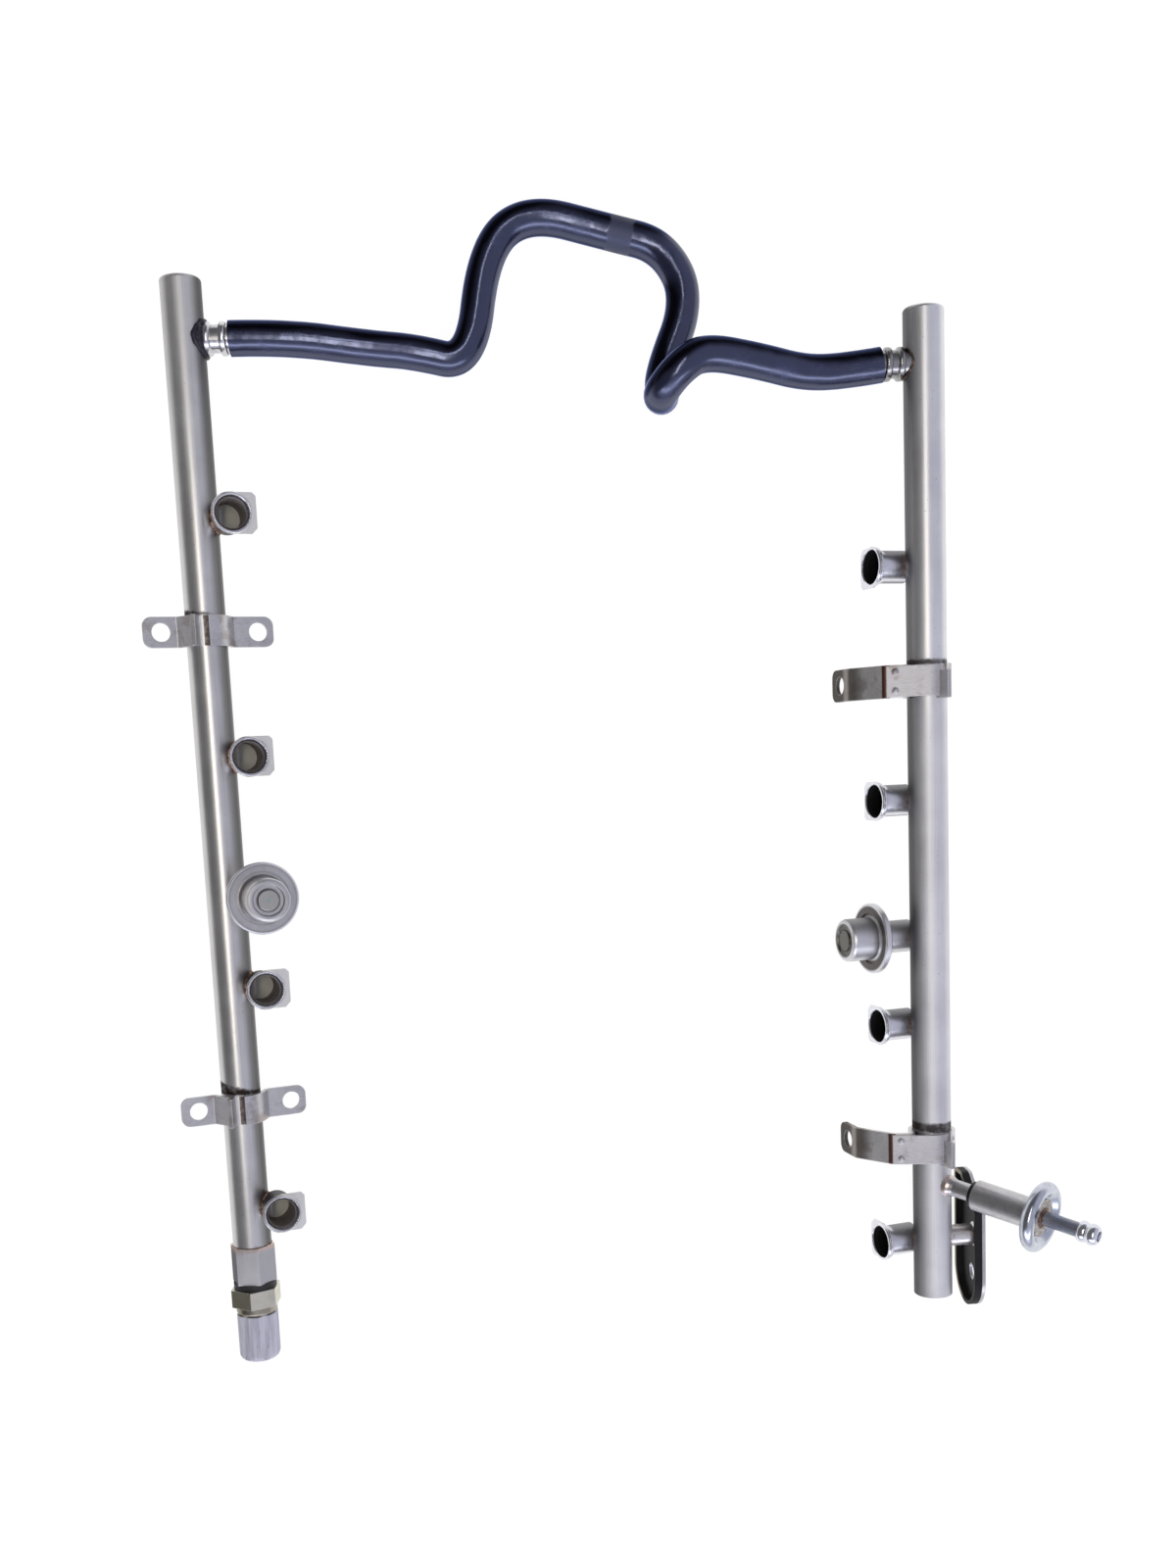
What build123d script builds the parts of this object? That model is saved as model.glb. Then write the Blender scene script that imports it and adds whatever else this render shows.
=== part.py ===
"""Fuel rail of a V8 engine: two steel rails with injector cups, joined by a moulded crossover hose.

The rails lie side by side along Y with the cup mouths turned up, as they would be laid on a bench.
The left rail leans its cups a little towards the middle; the right rail lies almost on its side.
Each rail has its own local frame: X points to the inner side of the rail, Z along its cup axes,
and the origin is on the rail's axis.  Stations are measured down each rail from its first cup.
"""
from math import cos, pi, radians, sin, sqrt, tan
import os

from build123d import *

# Rail tubes
TUBE_RADIUS = 9.525
TUBE_WALL = 1.25
BRAZE_GAP = 0.05
RAIL_SPACING = 344.0
LEFT_HEIGHT = 12.7
RIGHT_HEIGHT = 26.6
LEFT_TILT = 20.0
RIGHT_TILT = 74.0
RIGHT_FIRST_CUP = -34.2
LEFT_TOP = 106.5
LEFT_END = 19.5
RIGHT_TOP = 114.0
RIGHT_END = 26.0
END_CAP_WALL = 1.4
END_CAP_PLUG = 7.0
END_CAP_RISE = 2.0
END_CAP_ROUND = 1.7
END_PLUG_LENGTH = 9.0
END_PLUG_CROWN = 1.4

# Injector cups
CUP_COUNT = 4
CUP_PITCH = 111.8
CUP_OFFSET = 12.3
CUP_MOUTH = 23.0
CUP_FLOOR = 4.5
CUP_BORE = 13.5
CUP_STEP_BORE = 13.0
CUP_STEP = 8.2
CUP_WALL = 0.9
CUP_LIP_RADIUS = 9.6
CUP_LIP_BORE = 16.0
CUP_LEAD = 2.6
CUP_LIP_HEIGHT = 1.5
CLIP_FLANGE_REACH = 11.5
CLIP_FLANGE_THICKNESS = 1.0
CLIP_FLANGE_LOW = 9.3
CLIP_FLANGE_HIGH = 9.5
CLIP_FLANGE_LOW_CHAMFER = 2.6
CLIP_FLANGE_HIGH_CHAMFER = 1.6
FUEL_PORT = 4.0
FUEL_PORT_ANGLE = 41.0

# Pulsation dampers
DAMPER_OFFSET = 13.3
LEFT_DAMPER_STATION = 179.0
RIGHT_DAMPER_STATION = 179.3
NECK_RADIUS = 8.0
NECK_WALL = 1.5
SHELL_FLANGE = 22.5
SHELL_RADIUS = 17.3
SHELL_THICKNESS = 1.0
DIAPHRAGM_RADIUS = 15.3
DIAPHRAGM_THICKNESS = 0.3
CRIMP_REACH = 2.6
CRIMP_THICKNESS = 0.8
CRIMP_CLEARANCE = 0.1
HAT_RADIUS = 10.5
HAT_HEIGHT = 16.2
HAT_WALL = 1.2
HAT_FILLET = 1.6
BUTTON_RADIUS = 5.1
BUTTON_GROOVE = 1.1
BUTTON_GROOVE_WIDTH = 2.6
SEAT_RADIUS = 8.2
SEAT_THICKNESS = 0.8
SEAT_PILOT = 4.0
SPRING_RADIUS = 6.3
SPRING_WIRE = 1.5
SPRING_TURNS = 4.0

# Crossover hose and its spigots
HOSE_RADIUS = 8.0
HOSE_BORE = 12.0
SPIGOT_STATION_LEFT = -81.3
SPIGOT_STATION_RIGHT = -91.2
SPIGOT_BORE = 8.0
SPIGOT_BASE = 13.6
SPIGOT_BASE_LENGTH = 2.6
SPIGOT_NECK = 11.2
SPIGOT_BEAD = 14.4
SPIGOT_BEAD_WIDTH = 2.6
SPIGOT_GAP_WIDTH = 1.5
SPIGOT_RING = 15.2
SPIGOT_RING_WIDTH = 1.4
SPIGOT_TAIL = 14.0
SPIGOT_FIT = 0.15

# Left brackets, in the rail's local frame
STRAP_THICKNESS = 2.0
STRAP_WIDTH = 14.4
LEFT_BRACKET_STATIONS = (52.0, 284.0)
EAR_HOLE = 8.8
EAR_CORNER = 4.2
OUTER_EAR_HOLE = 21.0
OUTER_EAR_END = 29.4
INNER_EAR_HOLE = 24.6
INNER_EAR_END = 31.9
STRAP_LEAVE = 30.0
STRAP_BEND = 3.0
OUTER_STRAP_TOP = 116.0
INNER_STRAP_TOP = 91.0
TAB_HEIGHT = 4.6
WELD_DOT = 1.1
WELD_DOT_HEIGHT = 0.7
WELD_SINK = 0.2
LEFT_DOT_SPACING = 9.6
LEFT_DOT_ANGLE = 16.0

# Right brackets, in axes parallel to the world with the origin on the rail's axis
RIGHT_BRACKET_STATIONS = (55.0, 284.0)
RIGHT_STRAP_WIDTH = 15.6
SADDLE_WIDTH = 14.6
SADDLE_TANGENT = 100.0
SADDLE_REACH = 20.0
SADDLE_TOP = 66.0
SADDLE_TAB = 6.0
SADDLE_TAB_WIDTH = 13.0
SADDLE_TAB_SHIFT = 2.2
BASE_STRAP_TOP = 52.0
EAR_BEND_OUT = 36.5
EAR_BEND_DROP = 9.5
EAR_LEAN = 13.0
STRAP_FILLET = 3.5
RIGHT_EAR_HOLE = 8.6
STRAP_INNER_FOLD = 1.2
DOME_RADIUS = 1.7
DOME_HEIGHT = 0.9
DOME_SPACING = 9.0
DOME_INSET = 4.2
OUTER_DOME_ANGLE = 38.0

# Bottom fitting of the left rail
HEX_FLATS = 19.6
HEX_LENGTH = 19.0
HEX_TURN = 6.5
HEX_BORE = 8.0
HEX_SPIGOT = 7.0
THREAD_RADIUS = 7.9
THREAD_LENGTH = 27.0
SEAL_RADIUS = 10.6
SEAL_THICKNESS = 3.2
NUT_FLATS = 22.0
NUT_LENGTH = 9.0
NUT_TURN = 32.0
COLLAR_RADIUS = 10.2
COLLAR_LENGTH = 4.6
COLLAR_CHAMFER = 1.6
THREAD_FIT = 0.1
CAP_RADIUS = 10.2
CAP_LENGTH = 24.0
CAP_FLUTES = 6
CAP_FLUTE_DEPTH = 0.9
CAP_FLUTE_RADIUS = 4.2
CAP_END_ROUND = 3.4
CAP_FIT = 0.1

# Side take-off of the right rail
TAKEOFF_STATION = 302.8
TAKEOFF_RISE = 45.0
TAKEOFF_LEAN = 8.5
STEM_RADIUS = 4.25
STEM_FLARE = 5.6
STEM_FLARE_LENGTH = 3.0
STEM_END = 25.5
STEM_BORE = 5.0
GROOVE_LENGTH = 1.6
SLEEVE_RADIUS = 7.6
SLEEVE_END = 58.3
SLEEVE_WALL = 1.1
DISC_RADIUS = 17.4
DISC_LENGTH = 6.2
DISC_ROUND = 2.9
DISC_RECESS = 11.0
DISC_RECESS_DEPTH = 3.2
END_PLATE_RADIUS = 9.4
END_PLATE_THICKNESS = 1.6
NIPPLE_RADIUS = 3.6
NIPPLE_BORE = 5.0
NIPPLE_LENGTH = 29.3
BARB_RADIUS = 5.2
BARB_WIDTH = 3.4
BARB_GROOVE = 1.0

# Foot bracket of the right rail
FOOT_FACE = 22.5
FOOT_THICKNESS = 2.0
FOOT_FLANGE = 3.4
FOOT_ROUND_STATION = 354.0
FOOT_HOLE = 8.8
FOOT_HOLE_STATION = 355.0
FOOT_TOP_STATION = 319.0
FOOT_NOSE_STATION = 303.5
FOOT_NOSE_HEIGHT = 13.0
FOOT_NOSE_ROUND = 4.0
FOOT_RIM_CLEARANCE = 0.1
STUB_STATION = 332.0
STUB_RADIUS = 5.3
STUB_WALL = 1.2
STUB_BEAD = 1.0
FOOT_TOP_HEIGHT = RIGHT_HEIGHT + STUB_RADIUS + STUB_BEAD + FOOT_RIM_CLEARANCE + FOOT_THICKNESS
FOOT_HOLE_HEIGHT = FOOT_TOP_HEIGHT / 2

# The hose's route, before the whole assembly is centred: points of its centre line
HOSE_ROUTE = [
    (83.0, 76.8, 10.6),
    (106.4, 73.4, 9.0),
    (133.0, 68.2, 8.4),
    (140.6, 117.0, 8.4),
    (161.5, 135.7, 8.4),
    (200.0, 125.0, 8.6),
    (224.5, 118.4, 8.6),
    (237.9, 95.5, 8.6),
    (218.0, 50.0, 9.0),
    (222.5, 47.5, 38.0),
    (238.5, 66.5, 35.5),
    (264.0, 60.5, 31.5),
    (285.0, 54.0, 27.6),
]
HOSE_FIRST_RUN = 26.0
HOSE_LAST_RUN = 18.0

parts = {}


def rail_frame(side, station):
    """Local frame of a rail at a station below its first cup."""
    if side == "left":
        lean = radians(LEFT_TILT)
        origin = (0, -station, LEFT_HEIGHT)
        return Plane(origin, x_dir=(cos(lean), 0, -sin(lean)), z_dir=(sin(lean), 0, cos(lean)))
    lean = radians(RIGHT_TILT)
    origin = (RAIL_SPACING, RIGHT_FIRST_CUP - station, RIGHT_HEIGHT)
    return Plane(origin, x_dir=(-cos(lean), 0, -sin(lean)), z_dir=(-sin(lean), 0, cos(lean)))


def section_frame(side, station):
    """Frame whose X and Y lie in the rail's cross section, X out of the page to the right."""
    if side == "left":
        frame = rail_frame(side, station)
        return Plane(frame.origin, x_dir=frame.x_dir, z_dir=(0, -1, 0))
    origin = (RAIL_SPACING, RIGHT_FIRST_CUP - station, RIGHT_HEIGHT)
    return Plane(origin, x_dir=(1, 0, 0), z_dir=(0, -1, 0))


def rod(radius, length, start=0.0):
    """Round bar along Z from start."""
    return Pos(0, 0, start) * Cylinder(radius, length, align=(Align.CENTER, Align.CENTER, Align.MIN))


def hexagon_bar(flats, length, turn, start=0.0):
    """Hexagonal bar along Z from start, turned about its axis."""
    outline = RegularPolygon(flats / 2, 6, major_radius=False, rotation=turn)
    return Pos(0, 0, start) * extrude(outline, length)


def turned(points):
    """Body of revolution about Z from an outline of (radius, height) points."""
    outline = make_face(Plane.XZ * Polyline(*points, close=True))
    return revolve(outline, Axis.Z)


def strip(path, side, width):
    """Bent strip: a path drawn in XY, thickened to one side and extruded symmetrically in Z."""
    band = make_face(Wire(path).offset_2d(STRAP_THICKNESS, side=side, closed=True).edges())
    return extrude(band, width / 2, both=True)


def cap_nose(radius, crown):
    """Domed disc standing on Z = 0."""
    ball = (radius * radius + crown * crown) / (2 * crown)
    dome = Pos(0, 0, crown - ball) * Sphere(ball)
    return dome & rod(radius, crown)


def polar(radius, angle):
    """Point in the cross section at an angle from the X axis."""
    return (radius * cos(radians(angle)), radius * sin(radians(angle)))


def rail_ends(side):
    """Top station (negative) and bottom station of a rail tube."""
    last = CUP_PITCH * (CUP_COUNT - 1)
    if side == "left":
        return -LEFT_TOP, last + LEFT_END
    return -RIGHT_TOP, last + RIGHT_END


def rail_axis_frame(side, station, upward):
    """Frame on the rail's axis whose Z runs along the rail, up or down the layout."""
    frame = rail_frame(side, station)
    return Plane(frame.origin, x_dir=(1, 0, 0), z_dir=(0, 1 if upward else -1, 0))


def damper_station(side):
    return LEFT_DAMPER_STATION if side == "left" else RIGHT_DAMPER_STATION


def spigot_station(side):
    return SPIGOT_STATION_LEFT if side == "left" else SPIGOT_STATION_RIGHT


def spigot_frame(side):
    """Frame of a hose spigot: Z points from the rail's axis to the middle of the assembly."""
    frame = rail_frame(side, spigot_station(side))
    inward = 1 if side == "left" else -1
    return Plane(frame.origin, x_dir=(0, 1, 0), z_dir=(inward, 0, 0))


def takeoff_frame():
    """Frame of the side take-off: Z points up and away from the right rail."""
    rise = radians(TAKEOFF_RISE)
    lean = radians(TAKEOFF_LEAN)
    direction = (cos(rise) * cos(lean), -sin(lean), sin(rise) * cos(lean))
    frame = rail_frame("right", TAKEOFF_STATION)
    return Plane(frame.origin, x_dir=(-sin(rise), 0, cos(rise)), z_dir=direction)


def foot_stub_frame():
    """Frame of the stub that carries the foot bracket: Z points outwards from the right rail."""
    frame = rail_frame("right", STUB_STATION)
    return Plane(frame.origin, x_dir=(0, 1, 0), z_dir=(1, 0, 0))


def make_tube(side):
    """Rail tube with its fuel ports."""
    top, bottom = rail_ends(side)
    frame = rail_axis_frame(side, top, upward=False)
    body = rod(TUBE_RADIUS, bottom - top) - rod(TUBE_RADIUS - TUBE_WALL, bottom - top)
    body = frame * body
    stations = [CUP_PITCH * number for number in range(CUP_COUNT)]
    stations.append(damper_station(side))
    for station in stations:
        drill = Rot(0, 90 - FUEL_PORT_ANGLE, 0) * rod(FUEL_PORT / 2, TUBE_RADIUS + TUBE_WALL)
        body = body - rail_frame(side, station) * drill
    body = body - spigot_frame(side) * rod(SPIGOT_BORE / 2, 2 * TUBE_RADIUS)
    if side == "right":
        body = body - takeoff_frame() * rod(STEM_BORE / 2, 2 * TUBE_RADIUS)
    return body


def make_end_cap(side):
    """Flat cap with a rounded rim, pushed into the top end of a rail tube and brazed."""
    top, _ = rail_ends(side)
    frame = rail_axis_frame(side, top, upward=True)
    plug = TUBE_RADIUS - TUBE_WALL - BRAZE_GAP
    head = rod(TUBE_RADIUS, END_CAP_RISE)
    head = fillet(head.edges().sort_by(Axis.Z)[-1], END_CAP_ROUND)
    body = head + rod(plug, END_CAP_PLUG, -END_CAP_PLUG)
    hollow = rod(plug - END_CAP_WALL, END_CAP_PLUG + END_CAP_RISE - END_CAP_WALL, -END_CAP_PLUG)
    return frame * (body - hollow)


def make_end_plug():
    """Crowned plug that closes the bottom end of the right rail."""
    _, bottom = rail_ends("right")
    frame = rail_axis_frame("right", bottom, upward=False)
    plug = TUBE_RADIUS - TUBE_WALL - BRAZE_GAP
    crown = cap_nose(TUBE_RADIUS - TUBE_WALL / 2, END_PLUG_CROWN)
    body = rod(plug, END_PLUG_LENGTH, -END_PLUG_LENGTH) + crown
    return frame * body


def clip_flange():
    """Flat flange under the cup's lip, its corners cut on the side away from the rail."""
    height = CUP_MOUTH - CUP_LIP_HEIGHT - CLIP_FLANGE_THICKNESS
    disc = rod(CUP_LIP_RADIUS - 0.4, CLIP_FLANGE_THICKNESS, height)
    outline = Polyline(
        (0, -CLIP_FLANGE_LOW),
        (CLIP_FLANGE_REACH - CLIP_FLANGE_LOW_CHAMFER, -CLIP_FLANGE_LOW),
        (CLIP_FLANGE_REACH, CLIP_FLANGE_LOW_CHAMFER - CLIP_FLANGE_LOW),
        (CLIP_FLANGE_REACH, CLIP_FLANGE_HIGH - CLIP_FLANGE_HIGH_CHAMFER),
        (CLIP_FLANGE_REACH - CLIP_FLANGE_HIGH_CHAMFER, CLIP_FLANGE_HIGH),
        (0, CLIP_FLANGE_HIGH),
        close=True,
    )
    tab = Pos(0, 0, height) * extrude(make_face(outline), CLIP_FLANGE_THICKNESS)
    return disc + tab


def make_cup(side, station):
    """Injector cup: drawn shell beside the rail, with a flared lip and a clip flange."""
    bore = CUP_BORE / 2
    body = bore + CUP_WALL
    lip_bore = CUP_LIP_BORE / 2
    shell = turned([
        (0, CUP_FLOOR - CUP_WALL),
        (body - 1.5, CUP_FLOOR - CUP_WALL),
        (body, CUP_FLOOR - CUP_WALL + 1.5),
        (body, CUP_MOUTH - CUP_LEAD - 0.6),
        (CUP_LIP_RADIUS - 0.5, CUP_MOUTH - CUP_LIP_HEIGHT),
        (CUP_LIP_RADIUS, CUP_MOUTH - CUP_LIP_HEIGHT / 2),
        (CUP_LIP_RADIUS - 0.5, CUP_MOUTH - 0.1),
        (lip_bore + 0.4, CUP_MOUTH),
        (lip_bore, CUP_MOUTH - 0.4),
        (bore, CUP_MOUTH - CUP_LEAD),
        (bore, CUP_STEP),
        (CUP_STEP_BORE / 2, CUP_STEP),
        (CUP_STEP_BORE / 2, CUP_FLOOR),
        (0, CUP_FLOOR),
    ])
    flange = clip_flange() - rod(bore + 0.1, 2 * CUP_MOUTH)
    flange = flange - lead_cone(bore, lip_bore)
    cup = Pos(CUP_OFFSET, 0, 0) * (shell + flange)
    seat = Rot(90, 0, 0) * Cylinder(TUBE_RADIUS + BRAZE_GAP, 4 * CUP_LIP_RADIUS)
    return rail_frame(side, station) * (cup - seat)


def lead_cone(bore, lip_bore):
    """Space inside the cup's flared mouth."""
    return turned([
        (0, CUP_MOUTH - CUP_LEAD),
        (bore, CUP_MOUTH - CUP_LEAD),
        (lip_bore, CUP_MOUTH - 0.4),
        (0, CUP_MOUTH - 0.4),
    ])


def cover_seat():
    """Height at which the damper's cover sits on the diaphragm."""
    return SHELL_FLANGE + SHELL_THICKNESS + DIAPHRAGM_THICKNESS


def cover_flange_radius():
    return DIAPHRAGM_RADIUS


def make_damper_shell(side):
    """Damper's neck and lower shell, its rim rolled over the cover's flange."""
    crimp_base = cover_seat() + HAT_WALL + CRIMP_CLEARANCE
    rim_bore = DIAPHRAGM_RADIUS + CRIMP_CLEARANCE
    bore = NECK_RADIUS - NECK_WALL
    shell = turned([
        (0, CUP_FLOOR - NECK_WALL),
        (NECK_RADIUS - 1.5, CUP_FLOOR - NECK_WALL),
        (NECK_RADIUS, CUP_FLOOR - NECK_WALL + 1.5),
        (NECK_RADIUS, SHELL_FLANGE - 1.2),
        (NECK_RADIUS + 1.2, SHELL_FLANGE),
        (SHELL_RADIUS - 0.8, SHELL_FLANGE),
        (SHELL_RADIUS, SHELL_FLANGE + 0.8),
        (SHELL_RADIUS, crimp_base + CRIMP_THICKNESS - 0.5),
        (SHELL_RADIUS - 0.5, crimp_base + CRIMP_THICKNESS),
        (rim_bore - CRIMP_REACH, crimp_base + CRIMP_THICKNESS),
        (rim_bore - CRIMP_REACH, crimp_base),
        (rim_bore, crimp_base),
        (rim_bore, SHELL_FLANGE + SHELL_THICKNESS),
        (bore, SHELL_FLANGE + SHELL_THICKNESS),
        (bore, CUP_FLOOR),
        (0, CUP_FLOOR),
    ])
    damper = Pos(DAMPER_OFFSET, 0, 0) * shell
    seat = Rot(90, 0, 0) * Cylinder(TUBE_RADIUS + BRAZE_GAP, 4 * NECK_RADIUS)
    return rail_frame(side, damper_station(side)) * (damper - seat)


def make_damper_diaphragm(side):
    """Thin steel diaphragm, clamped between the shell and the cover."""
    disc = rod(DIAPHRAGM_RADIUS, DIAPHRAGM_THICKNESS, SHELL_FLANGE + SHELL_THICKNESS)
    return rail_frame(side, damper_station(side)) * (Pos(DAMPER_OFFSET, 0, 0) * disc)


def make_damper_cover(side):
    """Hat-shaped cover over the damper's spring, dished around a centre button."""
    seat = cover_seat()
    top = seat + HAT_HEIGHT
    groove_outer = BUTTON_RADIUS + BUTTON_GROOVE_WIDTH
    hat = turned([
        (HAT_RADIUS - HAT_WALL, seat),
        (cover_flange_radius(), seat),
        (cover_flange_radius(), seat + HAT_WALL),
        (HAT_RADIUS + 1.0, seat + HAT_WALL),
        (HAT_RADIUS, seat + HAT_WALL + 1.0),
        (HAT_RADIUS, top - HAT_FILLET),
        (HAT_RADIUS - HAT_FILLET * 0.3, top - HAT_FILLET * 0.3),
        (HAT_RADIUS - HAT_FILLET, top),
        (groove_outer, top),
        (groove_outer - 0.6, top - BUTTON_GROOVE),
        (BUTTON_RADIUS + 0.3, top - BUTTON_GROOVE),
        (BUTTON_RADIUS, top - 0.4),
        (BUTTON_RADIUS - 0.5, top),
        (0, top),
        (0, top - BUTTON_GROOVE - HAT_WALL),
        (HAT_RADIUS - HAT_WALL, top - BUTTON_GROOVE - HAT_WALL),
    ])
    return rail_frame(side, damper_station(side)) * (Pos(DAMPER_OFFSET, 0, 0) * hat)


def make_damper_seat(side):
    """Spring plate that rests on the diaphragm."""
    base = cover_seat()
    plate = rod(SEAT_RADIUS, SEAT_THICKNESS, base) + rod(SEAT_PILOT, 2 * SEAT_THICKNESS, base)
    return rail_frame(side, damper_station(side)) * (Pos(DAMPER_OFFSET, 0, 0) * plate)


def make_damper_spring(side):
    """Coil spring between the spring plate and the cover's end, its ends ground flat."""
    low = cover_seat() + SEAT_THICKNESS
    high = cover_seat() + HAT_HEIGHT - BUTTON_GROOVE - HAT_WALL
    length = high - low
    coil = Helix(pitch=length / SPRING_TURNS, height=length, radius=SPRING_RADIUS)
    section = Plane(origin=coil @ 0, z_dir=coil % 0) * Circle(SPRING_WIRE / 2)
    wire = sweep(section, path=coil)
    slab = rod(SPRING_RADIUS + 2 * SPRING_WIRE, length)
    spring = Pos(DAMPER_OFFSET, 0, low) * (wire & slab)
    return rail_frame(side, damper_station(side)) * spring


def make_spigot(side):
    """Hose spigot: barbed nipple brazed into the rail, with a shoulder for the hose's end."""
    base = sqrt(TUBE_RADIUS ** 2 - (SPIGOT_BASE / 2) ** 2)
    start = TUBE_RADIUS + SPIGOT_BASE_LENGTH - 1.2
    neck = SPIGOT_NECK / 2
    bead = SPIGOT_BEAD / 2
    points = [
        (SPIGOT_BORE / 2, base),
        (SPIGOT_BASE / 2, base),
        (SPIGOT_BASE / 2, start - 1.0),
        (neck, start),
    ]
    height = start
    for _ in range(2):
        points += [
            (neck, height + 0.2),
            (bead - 0.6, height + 0.2),
            (bead, height + 0.2 + SPIGOT_BEAD_WIDTH * 0.3),
            (bead, height + 0.2 + SPIGOT_BEAD_WIDTH * 0.7),
            (bead - 0.6, height + 0.2 + SPIGOT_BEAD_WIDTH),
            (neck, height + 0.2 + SPIGOT_BEAD_WIDTH),
        ]
        height += SPIGOT_BEAD_WIDTH + SPIGOT_GAP_WIDTH * 0.5
    ring = hose_start() - SPIGOT_RING_WIDTH
    tail = HOSE_BORE / 2 - SPIGOT_FIT
    points += [
        (neck, ring),
        (SPIGOT_RING / 2, ring),
        (SPIGOT_RING / 2, hose_start()),
        (tail, hose_start()),
        (tail, hose_start() + SPIGOT_TAIL - 1.0),
        (tail - 1.0, hose_start() + SPIGOT_TAIL),
        (SPIGOT_BORE / 2, hose_start() + SPIGOT_TAIL),
    ]
    nipple = turned(points)
    saddle = Rot(90, 0, 90) * Cylinder(TUBE_RADIUS + BRAZE_GAP, 4 * TUBE_RADIUS)
    return spigot_frame(side) * (nipple - Rot(0, 0, 90) * saddle)


def hose_start():
    """Distance from a rail's axis to the end face of the hose."""
    return TUBE_RADIUS + SPIGOT_BASE_LENGTH + 2 * SPIGOT_BEAD_WIDTH + 2 * SPIGOT_GAP_WIDTH


def hose_points():
    """The hose's whole route, from the left spigot's shoulder to the right one's."""
    start = spigot_frame("left").location.position + Vector(hose_start(), 0, 0)
    end = spigot_frame("right").location.position - Vector(hose_start(), 0, 0)
    leads = [start, start + Vector(HOSE_FIRST_RUN, 0, 0)]
    return leads + [Vector(*point) for point in HOSE_ROUTE] + [end - Vector(HOSE_LAST_RUN, 0, 0), end]


def hose_radii(points):
    """Bend radius at each inner point, as large as its two runs allow."""
    radii = []
    for before, corner, after in zip(points, points[1:], points[2:]):
        turn = (corner - before).get_angle(after - corner)
        shorter = min((corner - before).length, (after - corner).length)
        radii.append(0.45 * shorter / tan(radians(turn / 2)))
    return radii


def make_hose():
    """Moulded crossover hose between the two spigots."""
    points = hose_points()
    radii = hose_radii(points)
    path = FilletPolyline(*points, radius=radii)
    start = Plane(origin=path @ 0, z_dir=path % 0)
    outer = sweep(start * Circle(HOSE_RADIUS), path=path)
    inner = sweep(start * Circle(HOSE_BORE / 2), path=path)
    hose = outer - inner
    section = pi * (HOSE_RADIUS ** 2 - (HOSE_BORE / 2) ** 2)
    print("hose radii", [round(radius, 1) for radius in radii])
    ratio = hose.volume / (section * path.length)
    print("hose length", round(path.length, 2), "volume ratio", round(ratio, 5))
    return hose


def left_ear_level():
    """Height of the left ears' underside, which lets the inner ear's end rest on the floor."""
    lean = radians(LEFT_TILT)
    return (INNER_EAR_END * sin(lean) - LEFT_HEIGHT) / cos(lean)


def left_strap_path(ear_end, top_angle):
    """Contact path of a left strap: over the tube, off it at a slant, then out along the ear."""
    contact = TUBE_RADIUS + BRAZE_GAP
    leave = 180 - STRAP_LEAVE
    touch = polar(contact, leave)
    ear_level = left_ear_level()
    drop = (touch[1] - ear_level) / sin(radians(90 - STRAP_LEAVE))
    corner = (touch[0] - drop * cos(radians(90 - STRAP_LEAVE)), ear_level)
    over = CenterArc((0, 0), contact, top_angle, leave - top_angle)
    slant = FilletPolyline(touch, corner, (-ear_end, ear_level), radius=STRAP_BEND)
    return over.edges() + slant.edges()


def round_ear(strap):
    """Rounds the two free corners of a strap's ear, which is the strap's lowest end in X."""
    edges = strap.edges().filter_by(Axis.Z, reverse=True).filter_by(GeomType.LINE)
    corners = [edge for edge in edges if abs(edge.length - STRAP_THICKNESS) < 0.01]
    return fillet(ShapeList(corners).sort_by(Axis.X)[:2], EAR_CORNER)


def make_left_strap(station, outer):
    """Half of a left bracket: a strap bent over the tube, with a bolt ear."""
    ear_end = OUTER_EAR_END if outer else INNER_EAR_END
    hole = OUTER_EAR_HOLE if outer else INNER_EAR_HOLE
    top_angle = OUTER_STRAP_TOP if outer else 180 - INNER_STRAP_TOP
    body = round_ear(strip(left_strap_path(ear_end, top_angle), Side.RIGHT, STRAP_WIDTH))
    body = body - Pos(-hole, 0, 0) * Rot(90, 0, 0) * Cylinder(EAR_HOLE / 2, 4 * STRAP_THICKNESS)
    if outer:
        body = body + Rot(0, 0, top_angle) * upstand(TAB_HEIGHT, STRAP_WIDTH, 0)
        for z in (-LEFT_DOT_SPACING / 2, LEFT_DOT_SPACING / 2):
            dot = Pos(TUBE_RADIUS + BRAZE_GAP + STRAP_THICKNESS, 0, z) * Rot(0, 90, 0)
            dot = dot * Pos(0, 0, -WELD_SINK) * cap_nose(WELD_DOT, WELD_DOT_HEIGHT)
            body = body + Rot(0, 0, top_angle + LEFT_DOT_ANGLE) * dot
    else:
        body = body.mirror(Plane.YZ)
    return section_frame("left", station) * body


def upstand(height, width, shift):
    """Tab that stands out from the tube along the X axis, its face on the XZ plane."""
    contact = TUBE_RADIUS + BRAZE_GAP
    return Pos(contact, 0, shift) * Box(
        height + STRAP_THICKNESS, STRAP_THICKNESS, width,
        align=(Align.MIN, Align.MIN, Align.CENTER),
    )


def saddle_line():
    """Where the saddle's flat part leaves the tube, and its direction away from there."""
    touch = Vector(*polar(TUBE_RADIUS + BRAZE_GAP, SADDLE_TANGENT))
    along = Vector(-sin(radians(SADDLE_TANGENT)), cos(radians(SADDLE_TANGENT)))
    return touch, along


def dome():
    """Weld dome standing on the XY plane."""
    return cap_nose(DOME_RADIUS, DOME_HEIGHT)


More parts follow.
